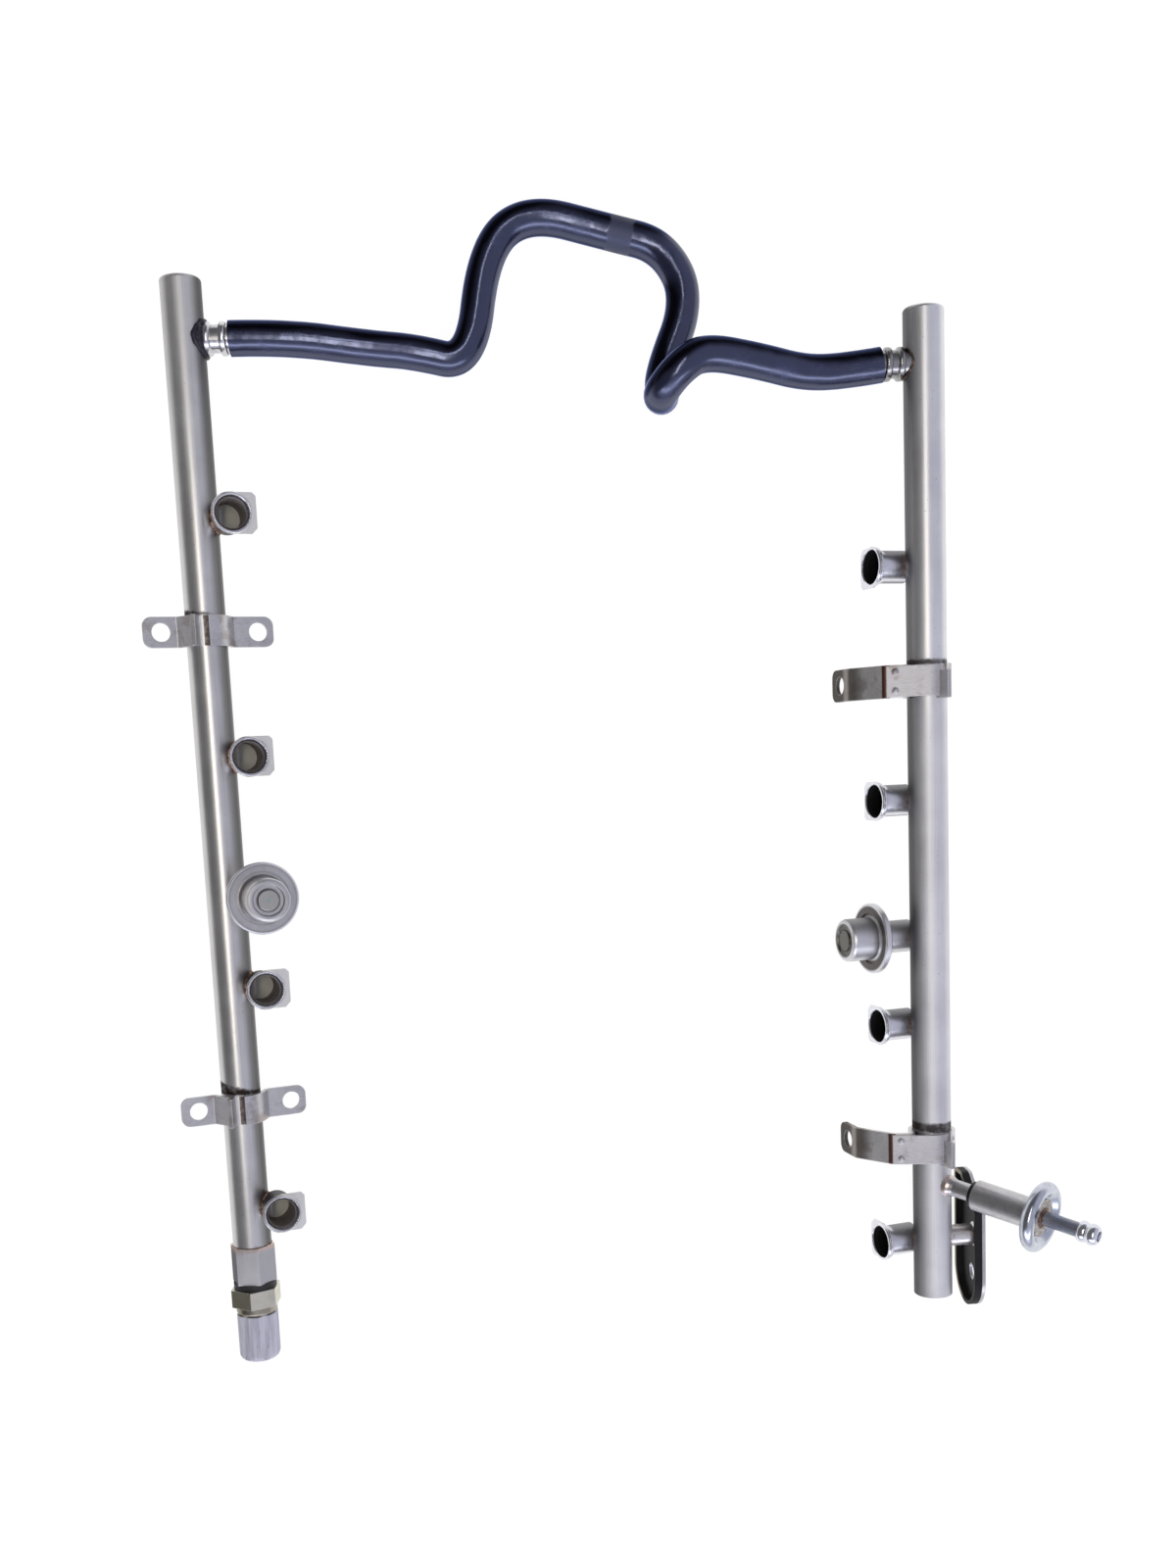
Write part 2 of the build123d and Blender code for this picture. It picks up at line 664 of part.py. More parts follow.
def make_saddle(station):
    """Upper half of a right bracket: a plate over the tube with an upstanding tab."""
    contact = TUBE_RADIUS + BRAZE_GAP
    touch, along = saddle_line()
    far = touch + along * SADDLE_REACH
    over = CenterArc((0, 0), contact, SADDLE_TANGENT, SADDLE_TOP - SADDLE_TANGENT)
    plate = strip([Edge.make_line(far, touch), *over.edges()], Side.LEFT, SADDLE_WIDTH)
    plate = plate + Rot(0, 0, SADDLE_TOP) * upstand(SADDLE_TAB, SADDLE_TAB_WIDTH, SADDLE_TAB_SHIFT)
    lap = Pos(far.X, far.Y) * Rot(0, 0, SADDLE_TANGENT - 90)
    for z in (-DOME_SPACING / 2, DOME_SPACING / 2):
        plate = plate + lap * Pos(DOME_INSET, STRAP_THICKNESS, z) * Rot(-90, 0, 0) * dome()
    return section_frame("right", station) * plate


def make_base_strap(station):
    """Lower half of a right bracket: steep bolt ear, sloping strap, lap, and a wrap under the tube."""
    contact = TUBE_RADIUS + BRAZE_GAP
    touch, along = saddle_line()
    lap_far = touch + along * SADDLE_REACH
    lap_near = lap_far + along * ((-contact - lap_far.X) / along.X)
    lean = radians(EAR_LEAN)
    bend = Vector(-EAR_BEND_OUT, -EAR_BEND_DROP)
    rise = Vector(sin(lean), cos(lean))
    foot = bend - rise * ((RIGHT_HEIGHT + bend.Y - STRAP_THICKNESS * sin(lean)) / cos(lean))
    fold = STRAP_THICKNESS + STRAP_INNER_FOLD
    bends = [STRAP_FILLET, STRAP_FILLET, fold]
    slope = FilletPolyline(foot, bend, lap_far, lap_near, (-contact, 0), radius=bends)
    wrap = CenterArc((0, 0), contact, 180, 180 + BASE_STRAP_TOP)
    strap = round_ear(strip(slope.edges() + wrap.edges(), Side.RIGHT, RIGHT_STRAP_WIDTH))
    hole = foot + rise * RIGHT_EAR_HOLE
    across = Rot(0, 0, -EAR_LEAN) * Rot(0, 90, 0)
    strap = strap - Pos(hole.X, hole.Y) * across * Cylinder(EAR_HOLE / 2, 4 * STRAP_THICKNESS)
    for z in (-DOME_SPACING / 2, DOME_SPACING / 2):
        nugget = Pos(contact + STRAP_THICKNESS - WELD_SINK, 0, z) * Rot(0, 90, 0) * dome()
        strap = strap + Rot(0, 0, OUTER_DOME_ANGLE) * nugget
    return section_frame("right", station) * strap


def make_hex_adapter():
    """Long hexagon brazed into the left rail, with a threaded end."""
    _, bottom = rail_ends("left")
    frame = rail_axis_frame("left", bottom, upward=False)
    plug = TUBE_RADIUS - TUBE_WALL - BRAZE_GAP
    body = hexagon_bar(HEX_FLATS, HEX_LENGTH, HEX_TURN) + rod(plug, HEX_SPIGOT, -HEX_SPIGOT)
    body = body + rod(THREAD_RADIUS, THREAD_LENGTH, HEX_LENGTH)
    body = body - rod(HEX_BORE / 2, HEX_SPIGOT + HEX_LENGTH + THREAD_LENGTH, -HEX_SPIGOT)
    return frame * body


def make_seal_ring():
    """Seal between the hexagon and the nut."""
    _, bottom = rail_ends("left")
    frame = rail_axis_frame("left", bottom, upward=False)
    ring = rod(SEAL_RADIUS, SEAL_THICKNESS) - rod(THREAD_RADIUS + THREAD_FIT, SEAL_THICKNESS)
    return frame * (Pos(0, 0, HEX_LENGTH) * ring)


def make_union_nut():
    """Nut with a round chamfered collar."""
    _, bottom = rail_ends("left")
    frame = rail_axis_frame("left", bottom, upward=False)
    collar = turned([
        (0, NUT_LENGTH),
        (COLLAR_RADIUS, NUT_LENGTH),
        (COLLAR_RADIUS, NUT_LENGTH + COLLAR_LENGTH - COLLAR_CHAMFER),
        (COLLAR_RADIUS - COLLAR_CHAMFER / 2, NUT_LENGTH + COLLAR_LENGTH),
        (0, NUT_LENGTH + COLLAR_LENGTH),
    ])
    nut = hexagon_bar(NUT_FLATS, NUT_LENGTH, NUT_TURN) + collar
    nut = nut - rod(THREAD_RADIUS + THREAD_FIT, NUT_LENGTH + COLLAR_LENGTH)
    return frame * (Pos(0, 0, HEX_LENGTH + SEAL_THICKNESS) * nut)


def make_thread_cap():
    """Fluted plastic cap over the end of the thread."""
    _, bottom = rail_ends("left")
    frame = rail_axis_frame("left", bottom, upward=False)
    body = rod(CAP_RADIUS, CAP_LENGTH)
    body = fillet(body.edges().sort_by(Axis.Z)[-1], CAP_END_ROUND)
    for number in range(CAP_FLUTES):
        out = CAP_RADIUS + CAP_FLUTE_RADIUS - CAP_FLUTE_DEPTH
        flute = Pos(out, 0, 0) * rod(CAP_FLUTE_RADIUS, CAP_LENGTH)
        body = body - Rot(0, 0, 360 / CAP_FLUTES * number) * flute
    start = HEX_LENGTH + SEAL_THICKNESS + NUT_LENGTH + COLLAR_LENGTH
    stud = THREAD_LENGTH + HEX_LENGTH - start
    body = body - rod(THREAD_RADIUS + CAP_FIT, stud + CAP_FIT)
    return frame * (Pos(0, 0, start) * body)


def make_takeoff_stem():
    """Stem of the side take-off, flared where it is brazed to the rail."""
    root = sqrt(TUBE_RADIUS ** 2 - STEM_FLARE ** 2)
    foot = TUBE_RADIUS + 0.6
    stem = turned([
        (STEM_BORE / 2, root),
        (STEM_FLARE, root),
        (STEM_FLARE, foot),
        (STEM_RADIUS + 0.6, foot + STEM_FLARE_LENGTH * 0.5),
        (STEM_RADIUS, foot + STEM_FLARE_LENGTH),
        (STEM_RADIUS, STEM_END),
        (STEM_BORE / 2, STEM_END),
    ])
    frame = takeoff_frame()
    _, bottom = rail_ends("right")
    rail = rail_axis_frame("right", bottom, upward=True) * rod(TUBE_RADIUS + BRAZE_GAP, 4 * CUP_PITCH)
    return frame * stem - rail


def make_takeoff_sleeve():
    """Sleeve pressed over the stem's end, necked down by a groove."""
    inner = SLEEVE_RADIUS - SLEEVE_WALL
    start = STEM_END - 3.0
    fit = STEM_RADIUS + BRAZE_GAP
    sleeve = turned([
        (fit, start),
        (SLEEVE_RADIUS - 1.2, start),
        (SLEEVE_RADIUS - 1.2, start + GROOVE_LENGTH),
        (SLEEVE_RADIUS, start + GROOVE_LENGTH + 0.6),
        (SLEEVE_RADIUS, SLEEVE_END),
        (inner, SLEEVE_END),
        (inner, STEM_END + 1.5),
        (fit, STEM_END + 1.5),
    ])
    return takeoff_frame() * sleeve


def make_takeoff_disc():
    """Thick rolled disc on the sleeve, dished at its far side."""
    inner = SLEEVE_RADIUS + BRAZE_GAP
    body = rod(DISC_RADIUS, DISC_LENGTH) - rod(inner, DISC_LENGTH)
    rims = body.edges().filter_by(GeomType.CIRCLE).sort_by(SortBy.RADIUS)[-2:]
    body = fillet(rims, DISC_ROUND)
    recess = rod(DISC_RECESS, DISC_RECESS_DEPTH, DISC_LENGTH - DISC_RECESS_DEPTH)
    body = body - recess
    return takeoff_frame() * (Pos(0, 0, SLEEVE_END - DISC_LENGTH + DISC_RECESS_DEPTH) * body)


def make_takeoff_end_plate():
    """Round plate that closes the sleeve inside the disc's recess."""
    plate = rod(END_PLATE_RADIUS, END_PLATE_THICKNESS)
    plate = plate - rod(NIPPLE_RADIUS + BRAZE_GAP, END_PLATE_THICKNESS)
    return takeoff_frame() * (Pos(0, 0, SLEEVE_END) * plate)


def make_takeoff_nipple():
    """Outlet nipple with two beads for a hose."""
    low = SLEEVE_END
    high = low + NIPPLE_LENGTH
    first = high - 2 * BARB_WIDTH - 2 * BARB_GROOVE
    second = high - BARB_WIDTH
    points = [(NIPPLE_BORE / 2, low), (NIPPLE_RADIUS, low)]
    for start in (first, second):
        points += [
            (NIPPLE_RADIUS, start),
            (BARB_RADIUS - 0.7, start + 0.3),
            (BARB_RADIUS, start + BARB_WIDTH * 0.4),
            (BARB_RADIUS, start + BARB_WIDTH * 0.6),
            (BARB_RADIUS - 1.0, start + BARB_WIDTH - 0.2),
        ]
        if start == first:
            points.append((NIPPLE_RADIUS, start + BARB_WIDTH))
    points += [(BARB_RADIUS - 1.2, high), (NIPPLE_BORE / 2, high)]
    return takeoff_frame() * turned(points)


def foot_outline(inset):
    """Outline of the foot plate, drawn with X up the rail and Y upright, set in by an inset."""
    radius = FOOT_TOP_HEIGHT / 2
    nose = FOOT_NOSE_ROUND - inset
    bottom = -FOOT_ROUND_STATION
    points = [
        (bottom, inset),
        (-FOOT_NOSE_STATION - inset, inset),
        (-FOOT_NOSE_STATION - inset, FOOT_NOSE_HEIGHT - inset),
        (-FOOT_TOP_STATION, FOOT_TOP_HEIGHT - inset),
        (bottom, FOOT_TOP_HEIGHT - inset),
    ]
    panel = make_face(Polyline(*points, close=True))
    corners = panel.vertices().sort_by(Axis.X)[-2:]
    panel = fillet(corners, nose)
    return panel + Pos(bottom, radius) * Circle(radius - inset)


def make_foot_bracket():
    """Pressed foot plate with a turned-in rim, standing beside the right rail."""
    depth = FOOT_THICKNESS + FOOT_FLANGE
    plate = extrude(foot_outline(0), depth) - extrude(foot_outline(FOOT_THICKNESS), FOOT_FLANGE)
    plate = plate - Pos(-FOOT_HOLE_STATION, FOOT_HOLE_HEIGHT) * Cylinder(FOOT_HOLE / 2, 4 * depth)
    face = (RAIL_SPACING + FOOT_FACE - FOOT_FLANGE, RIGHT_FIRST_CUP, 0)
    return Plane(face, x_dir=(0, 1, 0), z_dir=(1, 0, 0)) * plate


def make_foot_stub():
    """Tube between the right rail and the foot bracket."""
    root = sqrt(TUBE_RADIUS ** 2 - STUB_RADIUS ** 2)
    end = FOOT_FACE
    stub = turned([
        (STUB_RADIUS - STUB_WALL, root),
        (STUB_RADIUS, root),
        (STUB_RADIUS, end - 2 * STUB_BEAD - 0.6),
        (STUB_RADIUS + STUB_BEAD, end - STUB_BEAD - 0.6),
        (STUB_RADIUS + STUB_BEAD, end),
        (STUB_RADIUS - STUB_WALL, end),
    ])
    _, bottom = rail_ends("right")
    rail = rail_axis_frame("right", bottom, upward=True) * rod(TUBE_RADIUS + BRAZE_GAP, 4 * CUP_PITCH)
    return foot_stub_frame() * stub - rail


def build_all():
    """Makes every piece in the layout's frame."""
    for side in ("left", "right"):
        parts[side + "_rail_tube"] = make_tube(side)
        parts[side + "_end_cap"] = make_end_cap(side)
        for number in range(CUP_COUNT):
            parts[f"{side}_injector_cup_{number + 1}"] = make_cup(side, CUP_PITCH * number)
        parts[side + "_hose_spigot"] = make_spigot(side)
        parts[side + "_damper_shell"] = make_damper_shell(side)
        parts[side + "_damper_diaphragm"] = make_damper_diaphragm(side)
        parts[side + "_damper_spring_seat"] = make_damper_seat(side)
        parts[side + "_damper_spring"] = make_damper_spring(side)
        parts[side + "_damper_cover"] = make_damper_cover(side)
    for name, station in zip(("upper", "lower"), LEFT_BRACKET_STATIONS):
        parts[f"left_{name}_bracket_outer_strap"] = make_left_strap(station, outer=True)
        parts[f"left_{name}_bracket_inner_strap"] = make_left_strap(station, outer=False)
    for name, station in zip(("upper", "lower"), RIGHT_BRACKET_STATIONS):
        parts[f"right_{name}_bracket_base_strap"] = make_base_strap(station)
        parts[f"right_{name}_bracket_saddle"] = make_saddle(station)
    parts["right_end_plug"] = make_end_plug()
    parts["hex_adapter"] = make_hex_adapter()
    parts["adapter_seal_ring"] = make_seal_ring()
    parts["union_nut"] = make_union_nut()
    parts["thread_cap"] = make_thread_cap()
    parts["takeoff_stem"] = make_takeoff_stem()
    parts["takeoff_sleeve"] = make_takeoff_sleeve()
    parts["takeoff_disc"] = make_takeoff_disc()
    parts["takeoff_end_plate"] = make_takeoff_end_plate()
    parts["takeoff_nipple"] = make_takeoff_nipple()
    parts["foot_bracket"] = make_foot_bracket()
    parts["foot_stub"] = make_foot_stub()
    parts["crossover_hose"] = make_hose()


def centre_offset():
    """Move that puts the middle of the base of all but the hose at the origin."""
    rigid = Compound([shape for name, shape in parts.items() if name != "crossover_hose"])
    box = rigid.bounding_box()
    return Vector(-box.center().X, -box.center().Y, -box.min.Z)


build_all()
move = centre_offset()
print("moved by", [round(value, 4) for value in move])
os.makedirs("parts", exist_ok=True)
for name, shape in parts.items():
    export_step(Pos(*move) * shape, f"parts/{name}.step")
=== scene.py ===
import math

import bpy
from mathutils import Matrix, Vector


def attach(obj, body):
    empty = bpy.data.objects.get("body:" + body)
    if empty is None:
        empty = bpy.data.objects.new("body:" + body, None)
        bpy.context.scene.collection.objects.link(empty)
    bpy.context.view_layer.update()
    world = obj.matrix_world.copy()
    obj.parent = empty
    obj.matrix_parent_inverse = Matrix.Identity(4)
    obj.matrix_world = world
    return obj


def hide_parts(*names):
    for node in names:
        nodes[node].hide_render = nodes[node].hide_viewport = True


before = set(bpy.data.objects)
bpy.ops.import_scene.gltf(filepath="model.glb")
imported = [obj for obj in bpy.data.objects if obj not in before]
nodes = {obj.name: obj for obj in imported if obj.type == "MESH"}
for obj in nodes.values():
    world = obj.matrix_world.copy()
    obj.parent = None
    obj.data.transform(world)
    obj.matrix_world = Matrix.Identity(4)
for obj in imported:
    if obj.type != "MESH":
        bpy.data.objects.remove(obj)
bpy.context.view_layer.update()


# Rail tubes. Two drawn steel tubes, 19 mm across, lie side by side, closed by flat caps.
# They are satin, with fine draw lines, a brown heat tint round each brazed cup and dark bands
# beside the brackets. Painted shade darkens their lower halves and the edges that face each
# other. In the gap between the left brackets' two halves a pale strip is a painted highlight,
# and a brown one is heat tint with painted shadow. Inside each cup the tube is lightened on
# the left rail as painted light, and made near black on the right rail as painted shade.
MM = 0.001
CENTRE_X = -189.9231
CENTRE_Y = 153.1
TUBE_RADIUS = 9.525
CUP_PITCH = 111.8
CUP_OFFSET = 12.3
CUP_BODY = 7.65
RAILS = {
    "left": {"x": 0.0, "y": 0.0, "z": 12.7, "tilt": 20.0, "turn": 1},
    "right": {"x": 344.0, "y": -34.2, "z": 26.6, "tilt": 74.0, "turn": -1},
}
RAIL_LOOKS = {
    "left": {
        "steel": (0.67, 0.66, 0.655), "shade": (0.56, 0.55, 0.54), "rough": 0.26,
        "matt": (40.0, -95.0), "edge_shade": (0.5, 0.95), "in_cup": (0.62, 0.54, 0.48),
    },
    "right": {
        "steel": (0.82, 0.815, 0.83), "shade": (0.70, 0.69, 0.71), "rough": 0.32,
        "matt": (30.0, 95.0), "edge_shade": (-0.5, -0.98), "in_cup": (0.012, 0.012, 0.011),
    },
}
# Dark bands painted across each rail beside its brackets: where, slant, half width, taper and depth.
DARK_BANDS = {
    "left": ({"at": 44.1, "slant": 0.3, "half": 0.4, "taper": 1.2, "depth": 0.95},
             {"at": 274.4, "slant": 1.6, "half": 1.9, "taper": 1.3, "depth": 1.0}),
    "right": ({"at": 46.4, "slant": 0.0, "half": 1.0, "taper": 0.2, "depth": 0.8},
              {"at": 273.8, "slant": 0.6, "half": 2.2, "taper": -0.4, "depth": 0.85}),
}
STRAP_STATIONS = (52.0, 284.0)
STRAP_HALF = 6.8
HEAT_TINT = (0.26, 0.14, 0.085)
DARK_MARK = (0.035, 0.024, 0.02)


class Signal:
    """An output of a material's nodes. Arithmetic on signals adds Math nodes."""

    def __init__(self, tree, socket=None):
        self.tree = tree
        self.socket = socket

    def node(self, kind, settings, inputs, output=0):
        """Adds a node: its settings first, then the value or the link of each input."""
        made = self.tree.nodes.new(kind)
        for name, value in settings.items():
            if name == "stops":
                ramp = made.color_ramp
                while len(ramp.elements) < len(value):
                    ramp.elements.new(0.5)
                for element, (place, colour) in zip(ramp.elements, value):
                    element.position = place
                    element.color = (*colour, 1.0)
            else:
                setattr(made, name, value)
        for name, value in inputs.items():
            if isinstance(value, Signal):
                self.tree.links.new(value.socket, made.inputs[name])
            else:
                made.inputs[name].default_value = value
        return Signal(self.tree, made.outputs[output])

    def math(self, operation, first, second=0.0, third=0.0, clamp=False):
        inputs = {0: first, 1: second, 2: third}
        return self.node("ShaderNodeMath", {"operation": operation, "use_clamp": clamp}, inputs)

    def __add__(self, other):
        return self.math("ADD", self, other)

    __radd__ = __add__

    def __sub__(self, other):
        return self.math("SUBTRACT", self, other)

    def __rsub__(self, other):
        return self.math("SUBTRACT", other, self)

    def __mul__(self, other):
        return self.math("MULTIPLY", self, other)

    __rmul__ = __mul__

    def __truediv__(self, other):
        return self.math("DIVIDE", self, other)

    def __pow__(self, other):
        return self.math("POWER", self, other)

    def __abs__(self):
        return self.math("ABSOLUTE", self)

    def between(self, low, high):
        """0 below low and 1 above high, with a smooth step between them."""
        settings = {"interpolation_type": "SMOOTHSTEP"}
        inputs = {"Value": self, "From Min": low, "From Max": high}
        return self.node("ShaderNodeMapRange", settings, inputs)

    def axis(self, name):
        return self.node("ShaderNodeSeparateXYZ", {}, {0: self}, "XYZ".index(name))

    def stretched(self, scale, turn=(0.0, 0.0, 0.0), move=(0.0, 0.0, 0.0)):
        """Coordinates scaled, turned and moved by a Mapping node."""
        inputs = {"Vector": self, "Location": move, "Rotation": turn, "Scale": scale}
        return self.node("ShaderNodeMapping", {"vector_type": "POINT"}, inputs)

    def noise(self, scale, detail=3.0, roughness=0.55):
        inputs = {"Vector": self, "Scale": scale, "Detail": detail, "Roughness": roughness}
        return self.node("ShaderNodeTexNoise", {}, inputs)

    def blend(self, first, second):
        """A colour from first, at 0, to second, at 1."""
        ends = {}
        for place, colour in ((6, first), (7, second)):
            ends[place] = colour if isinstance(colour, Signal) else (*colour, 1.0)
        return self.node("ShaderNodeMix", {"data_type": "RGBA"}, {0: self, **ends}, 2)


def finish_for(name):
    """A new material, its Principled shader and its Object coordinates in millimetres."""
    material = bpy.data.materials.new(name)
    material.use_nodes = True
    shader = material.node_tree.nodes["Principled BSDF"]
    start = Signal(material.node_tree)
    place = start.node("ShaderNodeTexCoord", {}, {}, 3)
    return material, shader, place.stretched((1000.0, 1000.0, 1000.0))


def connect(shader, **inputs):
    """Links signals to a shader's sockets, or sets the socket's own value."""
    for name, value in inputs.items():
        socket = shader.inputs[name.replace("_", " ")]
        if isinstance(value, Signal):
            value.tree.links.new(value.socket, socket)
        else:
            socket.default_value = value


def dress(names, material):
    """Gives a material to CAD nodes."""
    for name in names:
        nodes[name].data.materials.clear()
        nodes[name].data.materials.append(material)


def rail_space(place, side):
    """Signals in a rail's own frame: across to its cups, down its length, and up the cups' axes."""
    rail = RAILS[side]
    lean = math.radians(rail["tilt"])
    inward = rail["turn"] * (place.axis("X") - (rail["x"] + CENTRE_X))
    height = place.axis("Z") - rail["z"]
    across = inward * math.cos(lean) - height * math.sin(lean)
    out = inward * math.sin(lean) + height * math.cos(lean)
    return across, rail["y"] + CENTRE_Y - place.axis("Y"), out


def from_cup(across, station):
    """Distance from the axis of the nearest of a rail's four cups."""
    step = station / CUP_PITCH
    nearest = step.math("MINIMUM", step.math("MAXIMUM", step.math("ROUND", step), 0.0), 3.0)
    beside = station - nearest * CUP_PITCH
    return ((across - CUP_OFFSET) ** 2.0 + beside * beside) ** 0.5


def steel_skin(place, grain, colour, shade, specks):
    """Colour and relief of bare steel: grain along one axis, soft blotches and dark specks."""
    lines = place.stretched(grain).noise(1.0, 4.0, 0.55)
    blotch = place.noise(0.045, 3.0)
    base = (lines * 0.45 + blotch * 0.55).between(0.32, 0.66).blend(shade, colour)
    spots = place.noise(0.8, 2.0).between(0.70, 0.76)
    return (spots * specks).blend(base, DARK_MARK), lines, blotch


def edge_wear(place, radius):
    """Normal rounded over a piece's edges, and 1 where an edge is rubbed bright."""
    soft = place.node("ShaderNodeBevel", {"samples": 4}, {"Radius": radius * MM})
    flat = place.node("ShaderNodeNewGeometry", {}, {}, 1)
    agree = place.node("ShaderNodeVectorMath", {"operation": "DOT_PRODUCT"}, {0: soft, 1: flat}, 1)
    return soft, (1.0 - agree).between(0.01, 0.16)


def bumped(shader, relief, distance, normal=None):
    """Feeds a relief in millimetres to the shader, over the normal if there is one."""
    inputs = {"Height": relief, "Distance": distance * MM, "Strength": 1.0}
    if normal:
        inputs["Normal"] = normal
    connect(shader, Normal=relief.node("ShaderNodeBump", {}, inputs))


for side, looks in RAIL_LOOKS.items():
    rail_steel, shader, place = finish_for(f"{side} rail steel")
    base, lines, blotch = steel_skin(place, (2.4, 0.025, 2.4), looks["steel"], looks["shade"], 0.35)
    across, station, out = rail_space(place, side)
    ragged = place.noise(0.5, 3.0)
    round_x = (place.axis("X") - (RAILS[side]["x"] + CENTRE_X)) / TUBE_RADIUS
    # Painted shade: the edges of the two tubes that face each other are darkened.
    edge_shade = round_x.between(*looks["edge_shade"])
    base = (edge_shade * 0.92).blend(base, (0.07, 0.067, 0.07))
    heat = 1.0 - (from_cup(across, station) + ragged * 4.0).between(CUP_BODY + 1.0, CUP_BODY + 5.0)
    base = (heat * out.between(-2.0, 3.0) * 0.75).blend(base, HEAT_TINT)
    stain = heat * 0.2
    for mark in DARK_BANDS[side]:
        beside = abs(station - mark["at"] - round_x * mark["slant"])
        beside = beside + ragged * 1.8 + round_x * mark["taper"]
        band = 1.0 - beside.between(mark["half"] + 0.3, mark["half"] + 1.9)
        patchy = place.noise(0.28, 4.0).between(0.34, 0.56) * 0.3 + 0.7
        base = (band * patchy * mark["depth"]).blend(base, DARK_MARK)
        stain = stain + band * 0.3
    if side == "left":
        # In the gap between each left bracket's two halves, a pale strip is a painted highlight standing
        # in for the lit edge of the tab, and a brown strip is heat tint with painted shadow.
        pale = (1.0 - abs(across + 3.1).between(0.5, 0.8)) * out.between(0.0, 1.0)
        brown = (1.0 - abs(across + 0.8).between(1.5, 1.9)) * out.between(0.0, 1.0)
        for middle in STRAP_STATIONS:
            beside_strap = 1.0 - abs(station - middle).between(STRAP_HALF, STRAP_HALF + 0.6)
            base = (pale * beside_strap * 0.8).blend(base, (0.50, 0.52, 0.55))
            base = (brown * beside_strap * (0.6 + ragged * 0.6)).blend(base, (0.07, 0.048, 0.038))
    # Painted shade: the lower half of each tube is darkened.
    under = 1.0 - (place.axis("Z") - RAILS[side]["z"] + ragged * 2.0).between(-3.0, 3.0)
    base = (under * 0.45).blend(base, (0.16, 0.15, 0.15))
    matt = station.between(*looks["matt"]) * 0.14
    rough = matt + blotch * 0.1 + lines * 0.06 + stain + under * 0.15 + looks["rough"]
    # Inside each cup the tube is painted: lightened on the left rail, as painted light against the shade
    # of the cup's wall, and near black on the right rail, as painted shade.
    in_cup = 1.0 - from_cup(across, station).between(CUP_BODY - 1.1, CUP_BODY - 0.8)
    in_cup = in_cup * out.between(0.5, 1.5)
    base = in_cup.blend(base, looks["in_cup"])
    connect(shader, Base_Color=base, Metallic=0.94 - in_cup * 0.8, Roughness=rough)
    bumped(shader, lines + place.noise(0.12, 2.0) * 1.5, 0.012)
    dress([f"{side}_rail_tube", f"{side}_end_cap"], rail_steel)
dress(["right_end_plug"], rail_steel)


# Injector cups. Eight drawn cups sit beside the tubes, each with a flared lip and a clip
# flange. They are brazed on with copper, which shows as a thin brown line. Their insides are
# dull and dark, with painted shade that darkens towards the floor and a black diffuse mixed
# in, most in the right cups, which are near black inside. The left cups' floors are painted
# light, with a painted highlight streak, and the bodies' upper sides and lowest edges are
# painted shaded.
CUP_BASE = 3.6
CUP_FLOOR = 4.5
CUP_MOUTH = 23.0
CUP_BORE = 6.75
CUP_FLARE = 20.0
CUP_FLANGE = 9.2
CUP_LOOKS = {
    "left": {
        "steel": (0.66, 0.65, 0.68), "wall": (0.26, 0.225, 0.20), "deep": (0.15, 0.125, 0.11),
        "floor": (0.74, 0.73, 0.64), "painted_stripe_highlight": (0.92, 0.91, 0.87), "flange": (0.84, 0.83, 0.76),
        "upper": (0.04, 0.04, 0.045), "upper_from": 0.0, "ring": 1.9, "dull": 0.45, "inside_shade": 0.1,
        "seam": 9.5, "braze": 1.15,
    },
    "right": {
        "steel": (0.88, 0.88, 0.94), "wall": (0.016, 0.015, 0.014), "deep": (0.008, 0.008, 0.008),
        "floor": (0.012, 0.012, 0.011), "painted_stripe_highlight": (0.012, 0.012, 0.011), "flange": (0.84, 0.85, 0.88),
        "upper": (0.26, 0.26, 0.27), "upper_from": 0.3, "ring": 0.5, "dull": 0.85, "inside_shade": 0.92,
        "seam": 6.8, "braze": 0.5,
    },
}
BRAZE = (0.30, 0.185, 0.13)
BRAZE_DARK = (0.07, 0.045, 0.036)


def facing(place, axis):
    """How far the surface faces along an axis, from -1 to 1."""
    return place.node("ShaderNodeNewGeometry", {}, {}, 1).axis(axis)


def rail_point(side, station, x, y, z):
    """A point given from a rail's axis, X to the inner side and Z up a cup's axis, in metres."""
    rail = RAILS[side]
    lean = math.radians(rail["tilt"])
    across = rail["turn"] * (x * math.cos(lean) + z * math.sin(lean))
    up = z * math.cos(lean) - x * math.sin(lean)
    return Vector((
        (rail["x"] + across + CENTRE_X) * MM,
        (rail["y"] - station + y + CENTRE_Y) * MM,
        (rail["z"] + up) * MM,
    ))


def bead(name, points, radius, material, closed=True, swell=0.25):
    """A run of braze or weld: an uneven round bead through points given in metres."""
    line = bpy.data.curves.new(name, "CURVE")
    line.dimensions = "3D"
    line.bevel_depth = radius * MM
    line.bevel_resolution = 3
    line.use_fill_caps = True
    spline = line.splines.new("POLY")
    spline.points.add(len(points) - 1)
    for number, point in enumerate(points):
        spline.points[number].co = (*point, 1.0)
        wave = math.sin(number * 1.7 + radius) + math.sin(number * 0.61)
        spline.points[number].radius = 1.0 + swell * 0.5 * wave
    spline.use_cyclic_u = closed
    line.materials.append(material)
    piece = bpy.data.objects.new(name, line)
    bpy.context.scene.collection.objects.link(piece)
    bpy.ops.object.select_all(action="DESELECT")
    piece.select_set(True)
    bpy.context.view_layer.objects.active = piece
    bpy.ops.object.convert(target="MESH")
    bpy.ops.object.shade_smooth()
    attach(piece, "root")
    return piece


